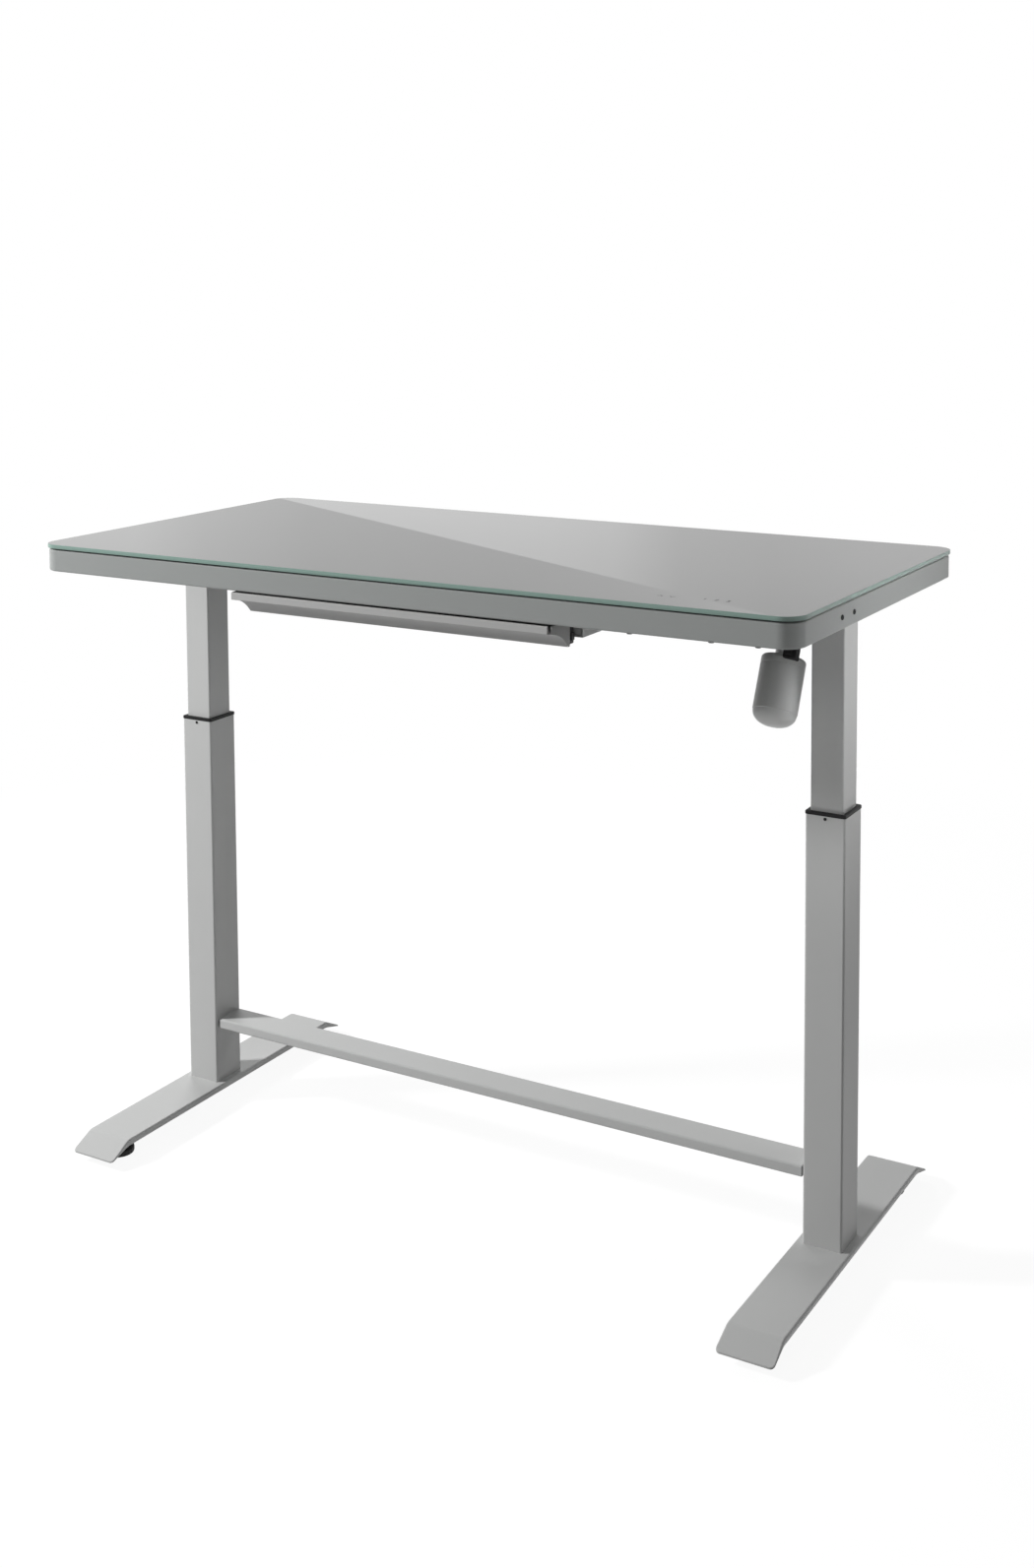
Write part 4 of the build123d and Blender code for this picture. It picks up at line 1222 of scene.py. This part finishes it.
class DESK_OT_screws(bpy.types.Operator):
    """Makes every screw and bolt with its socket, one mesh for each group"""

    bl_idname = "desk.screws"
    bl_label = "Screws and Bolts"

    # Shares of the head's diameter and height
    socket_width = 0.5
    socket_depth = 0.6
    bolt_head = 4 * MM
    side_rows = (-110 * MM, -152 * MM)
    side_level = 922 * MM
    flange_places = (373 * MM, 483 * MM, 544 * MM)
    flange_inset = 11 * MM
    collar_level = 625 * MM
    bar_inset = 15 * MM
    bar_row = 14 * MM
    head_spacing = (30 * MM, 44 * MM)
    foot_spacing = (18 * MM, 20 * MM)

    def execute(self, context):
        tree = screw_tree()
        tray_low, tray_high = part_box("desk_tray")
        foot_low, foot_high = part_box("foot_right")
        leg = (foot_low.x + foot_high.x) / 2
        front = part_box("outer_column_right")[0].y
        bar_low, bar_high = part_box("crossbar")
        head_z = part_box("head_bolts")[0].z + self.bolt_head
        foot_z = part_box("foot_bolts")[0].z + self.bolt_head
        down, ahead = (0, 0, -1), (0, -1, 0)
        bar_x = bar_high.x - self.bar_inset
        sides = [(s * tray_high.x, y, self.side_level) for end, s in SIDES for y in self.side_rows]
        outward = [(s, 0, 0) for end, s in SIDES for y in self.side_rows]
        flange = [(x, tray_low.y + self.flange_inset, tray_low.z) for x in self.flange_places]
        collar = [(s * leg, front, self.collar_level) for end, s in SIDES]
        bar = [(s * bar_x, e * self.bar_row, bar_low.z) for end, s in SIDES for row, e in ENDS]
        heads = self.round_leg(leg, *self.head_spacing, head_z)
        feet = self.round_leg(leg, *self.foot_spacing, foot_z)
        # Diameter and height of the head, diameter and length of the shank, in millimetres
        for kind, body, slot, spots, axes, sizes in (
            ("side_screw", "top", "black_screw", sides, outward, (7.0, 1.5, 4.0, 9.0)),
            ("flange_screw", "top", "black_screw", flange, [down] * 3, (8.0, 2.6, 4.0, 3.0)),
            ("collar_screw", "base", "black_screw", collar, [ahead] * 2, (4.4, 1.0, 3.0, 4.5)),
            ("crossbar_bolt", "base", "zinc_steel", bar, [down] * 4, (9.0, 3.0, 5.0, 10.0)),
            ("head_bolt", "top", "zinc_steel", heads, [down] * 8, (11.0, 4.0, 6.0, 6.0)),
            ("foot_bolt", "base", "zinc_steel", feet, [down] * 8, (11.0, 4.0, 6.0, 7.5)),
        ):
            head, high, shank, deep = (value * MM for value in sizes)
            lengths = (head, high, shank, deep, head * self.socket_width, high * self.socket_depth)
            values = {**dict(zip(SCREW_LENGTHS, lengths)), "Finish": FINISHES[slot]}
            bm = grow(tree, spots_mesh(spots, axes), values)
            piece(f"{kind}_heads", bm, body, slot, replaced=(f"{kind}s",))
        return {"FINISHED"}

    def round_leg(self, leg, across, along, z):
        """Four places round each leg."""
        places = [s * leg + i * across for end, s in SIDES for i in (-1, 1)]
        return [(x, e * along, z) for x in places for row, e in ENDS]


class DESK_OT_stage(bpy.types.Operator):
    """Makes the floor, the lamps, the reflected cards and the camera"""

    bl_idname = "desk.stage"
    bl_label = "Studio Stage"

    floor_half = 30.0
    floor_tones = ((0.43, 0.43, 0.43, 1), (0.47, 0.47, 0.47, 1))
    # How much of the shadow shows, the light it keeps, and stops of its fade over a reach in metres
    shadow_share = 0.3
    shadow_level = 0.25
    shadow_fade = ((0.2, 1.0), (0.6, 0.0))
    shadow_reach = 4.0
    # Cards behind the desk: their edges, the slanting line between them, and stops of place and level
    card_back = 2.5
    card_left, card_right, card_top, card_bottom = -4.0, 0.9, 3.4, 0.7
    card_line = [(card_left, 1.083), (card_right, 1.73)]
    grey_stops = ((-2.9, 0.87), (-2.6, 0.735), (-2.15, 0.64), (-1.43, 0.635), (-0.93, 0.725), (-0.7, 0.825))
    bright_stops = ((-1.3, 0.97), (-1.08, 0.92), (-0.88, 0.755), (-0.6, 0.72), (-0.25, 0.785))
    # The stops lie between this far left and the middle
    cloth_reach = 3.0
    # Name, place, aim, width and height, power in watts, spread in degrees
    lamp_list = (
        ("key_softbox", (-2.9, -1.75, 2.35), (0.2, 0.0, 0.4), (0.44, 0.44), 140.0, 180.0),
        ("front_softbox", (0.4, -2.6, 2.0), (0.2, 0.0, 0.4), (1.2, 1.0), 6.8, 180.0),
        ("back_left_softbox", (-2.0, 1.8, 2.2), (0.0, 0.0, 0.2), (1.2, 1.2), 28.0, 180.0),
        ("back_softbox", (0.0, 2.2, 2.4), (0.0, 0.0, 0.3), (1.6, 1.2), 2.5, 180.0),
        ("right_softbox", (2.3, 1.0, 1.7), (0.5, 0.0, 0.5), (0.9, 0.9), 7.6, 180.0),
        ("right_grid", (1.75, 0.42, 1.04), (0.56, 0.02, 0.9), (0.36, 0.3), 0.284, 34.0),
        ("low_grid", (1.1, -0.55, 0.2), (0.49, -0.03, 0.84), (0.3, 0.3), 0.088, 30.0),
    )

    def execute(self, context):
        stage = context.scene.desk_stage
        self.floor()
        self.cards()
        self.lamps()
        self.world(context, stage)
        self.camera(context, stage)
        context.scene.view_settings.view_transform = "Standard"
        return {"FINISHED"}

    def seen(self, graph):
        """1 where a ray shows the surroundings, in the picture or in a gloss or glass."""
        kinds = ("Camera", "Glossy", "Transmission")
        rays = [graph.node("ShaderNodeLightPath", output=f"Is {kind} Ray") for kind in kinds]
        total = rays[0] + rays[1] + rays[2]
        return graph.node("ShaderNodeMath", {"operation": "MINIMUM"}, {0: total, 1: 1.0})

    def sheet(self, name, points, finish):
        """One flat face of the stage."""
        bm = bmesh.new()
        bm.faces.new([bm.verts.new(point) for point in points])
        return add_object(name, mesh_of(name, bm, [finish]))

    def floor(self):
        """A white floor that keeps part of the desk's shadow."""
        f = Finish("white_studio_floor")
        far = f.node("ShaderNodeVectorMath", {"operation": "LENGTH"}, {0: f.place}, "Value")
        near = f.grey(f.ramp(far / self.shadow_reach, self.shadow_fade))
        tone = f.between(f.noise(30.0), *self.floor_tones)
        matte = f.node("ShaderNodeBsdfDiffuse", None, {"Color": tone})
        shadow = near * self.shadow_share
        white = f.glow((1 - shadow * self.shadow_level) / (1 - shadow))
        share = self.seen(f) * (1 - shadow)
        finish = f.end(f.node("ShaderNodeMixShader", None, {0: share, 1: matte, 2: white}))
        half = self.floor_half
        corners = [(x, y, 0.0) for x, y in rectangle((-half, -half), (half, half))]
        floor = self.sheet("studio_floor", corners, finish)

    def cards(self):
        """Grey cloth behind the desk over a bright wedge, both seen only as reflections."""
        left, right, line = self.card_left, self.card_right, self.card_line
        over = line + [(right, self.card_top), (left, self.card_top)]
        under = [(left, self.card_bottom), (right, self.card_bottom)] + line[::-1]
        self.glossy_card("grey_flag", over, self.cloth(self.grey_stops))
        self.glossy_card("bright_wedge", under, self.cloth(self.bright_stops))

    def cloth(self, stops):
        """Plain cloth whose brightness changes from left to right; a stop is a place and a level."""
        f = Finish("reflected_cloth")
        weave = f.noise(8.0)
        reach = self.cloth_reach
        places = [((x + reach) / reach, level) for x, level in stops]
        ramp = f.ramp((f.axis("X") + reach) / reach, places)
        return f.end(f.glow(f.grey(ramp) - 0.01 + weave * 0.02))

    def glossy_card(self, name, outline, finish):
        card = self.sheet(name, [(x, self.card_back, z) for x, z in outline], finish)
        card.visible_camera = False
        card.visible_diffuse = False
        card.visible_shadow = False
        card.visible_transmission = False

    def lamps(self):
        for name, place, aim, size, power, spread in self.lamp_list:
            lamp = bpy.data.lights.new(name, "AREA")
            lamp.shape = "RECTANGLE"
            lamp.size, lamp.size_y = size
            lamp.energy = power
            lamp.spread = math.radians(spread)
            holder = add_object(name, lamp)
            holder.location = place
            holder.rotation_euler = (Vector(aim) - Vector(place)).to_track_quat("-Z", "Y").to_euler()
            holder.visible_camera = False
            holder.visible_glossy = False

    def world(self, context, stage):
        """White where it is seen, and a faint light from all round."""
        world = bpy.data.worlds.new("white_studio")
        world.use_nodes = True
        graph = Graph(world.node_tree)
        graph.tree.nodes.clear()
        level = stage.ambient + self.seen(graph) * (1.0 - stage.ambient)
        sky = graph.node("ShaderNodeBackground", None, {"Color": (1, 1, 1, 1), "Strength": level})
        graph.node("ShaderNodeOutputWorld", None, {"Surface": sky})
        context.scene.world = world

    def camera(self, context, stage):
        """The camera at the photograph's viewing angle."""
        data = bpy.data.cameras.new("photo_camera")
        data.lens = stage.lens
        data.sensor_width = 36.0
        data.sensor_fit = "AUTO"
        data.shift_x, data.shift_y = stage.shift_x, stage.shift_y
        yaw, pitch, lean = stage.yaw, stage.pitch, stage.roll
        right = Vector((math.cos(yaw), math.sin(yaw), 0))
        ahead = Vector((-math.sin(yaw), math.cos(yaw), 0)) * math.cos(pitch)
        ahead.z = -math.sin(pitch)
        up = right.cross(ahead)
        side = right * math.cos(lean) + up * math.sin(lean)
        rise = up * math.cos(lean) - right * math.sin(lean)
        turn = Matrix((side, rise, -ahead)).transposed()
        camera = add_object("photo_camera", data)
        camera.matrix_world = Matrix.Translation(stage.camera) @ turn.to_4x4()
        context.scene.camera = camera


class DESK_PT_panel(bpy.types.Panel):
    """Lists the desk's steps with their sizes and colours"""

    bl_idname = "DESK_PT_panel"
    bl_label = "Height Adjustable Desk"
    bl_space_type = "VIEW_3D"
    bl_region_type = "UI"
    bl_category = "Desk"

    def draw(self, context):
        for operator in OPERATORS:
            self.layout.operator(operator.bl_idname)
        for group in (context.scene.desk_sizes, context.scene.desk_colours, context.scene.desk_stage):
            box = self.layout.box()
            for name in group.__annotations__:
                box.prop(group, name)


GROUPS = {"desk_sizes": DeskSizes, "desk_colours": DeskColours, "desk_stage": DeskStage}
OPERATORS = (
    DESK_OT_stage,
    DESK_OT_finishes,
    DESK_OT_glass,
    DESK_OT_tray,
    DESK_OT_marks,
    DESK_OT_feet,
    DESK_OT_collars,
    DESK_OT_crossbar,
    DESK_OT_levellers,
    DESK_OT_drawer,
    DESK_OT_motor,
    DESK_OT_controls,
    DESK_OT_screws,
)
CLASSES = (*GROUPS.values(), *OPERATORS, DESK_PT_panel)


def register():
    for item in CLASSES:
        bpy.utils.register_class(item)
    for name, group in GROUPS.items():
        setattr(bpy.types.Scene, name, PointerProperty(type=group))


def unregister():
    for name in GROUPS:
        delattr(bpy.types.Scene, name)
    for item in reversed(CLASSES):
        bpy.utils.unregister_class(item)


def main():
    register()
    for operator in OPERATORS:
        family, name = operator.bl_idname.split(".")
        getattr(getattr(bpy.ops, family), name)()


if __name__ == "__main__":
    main()
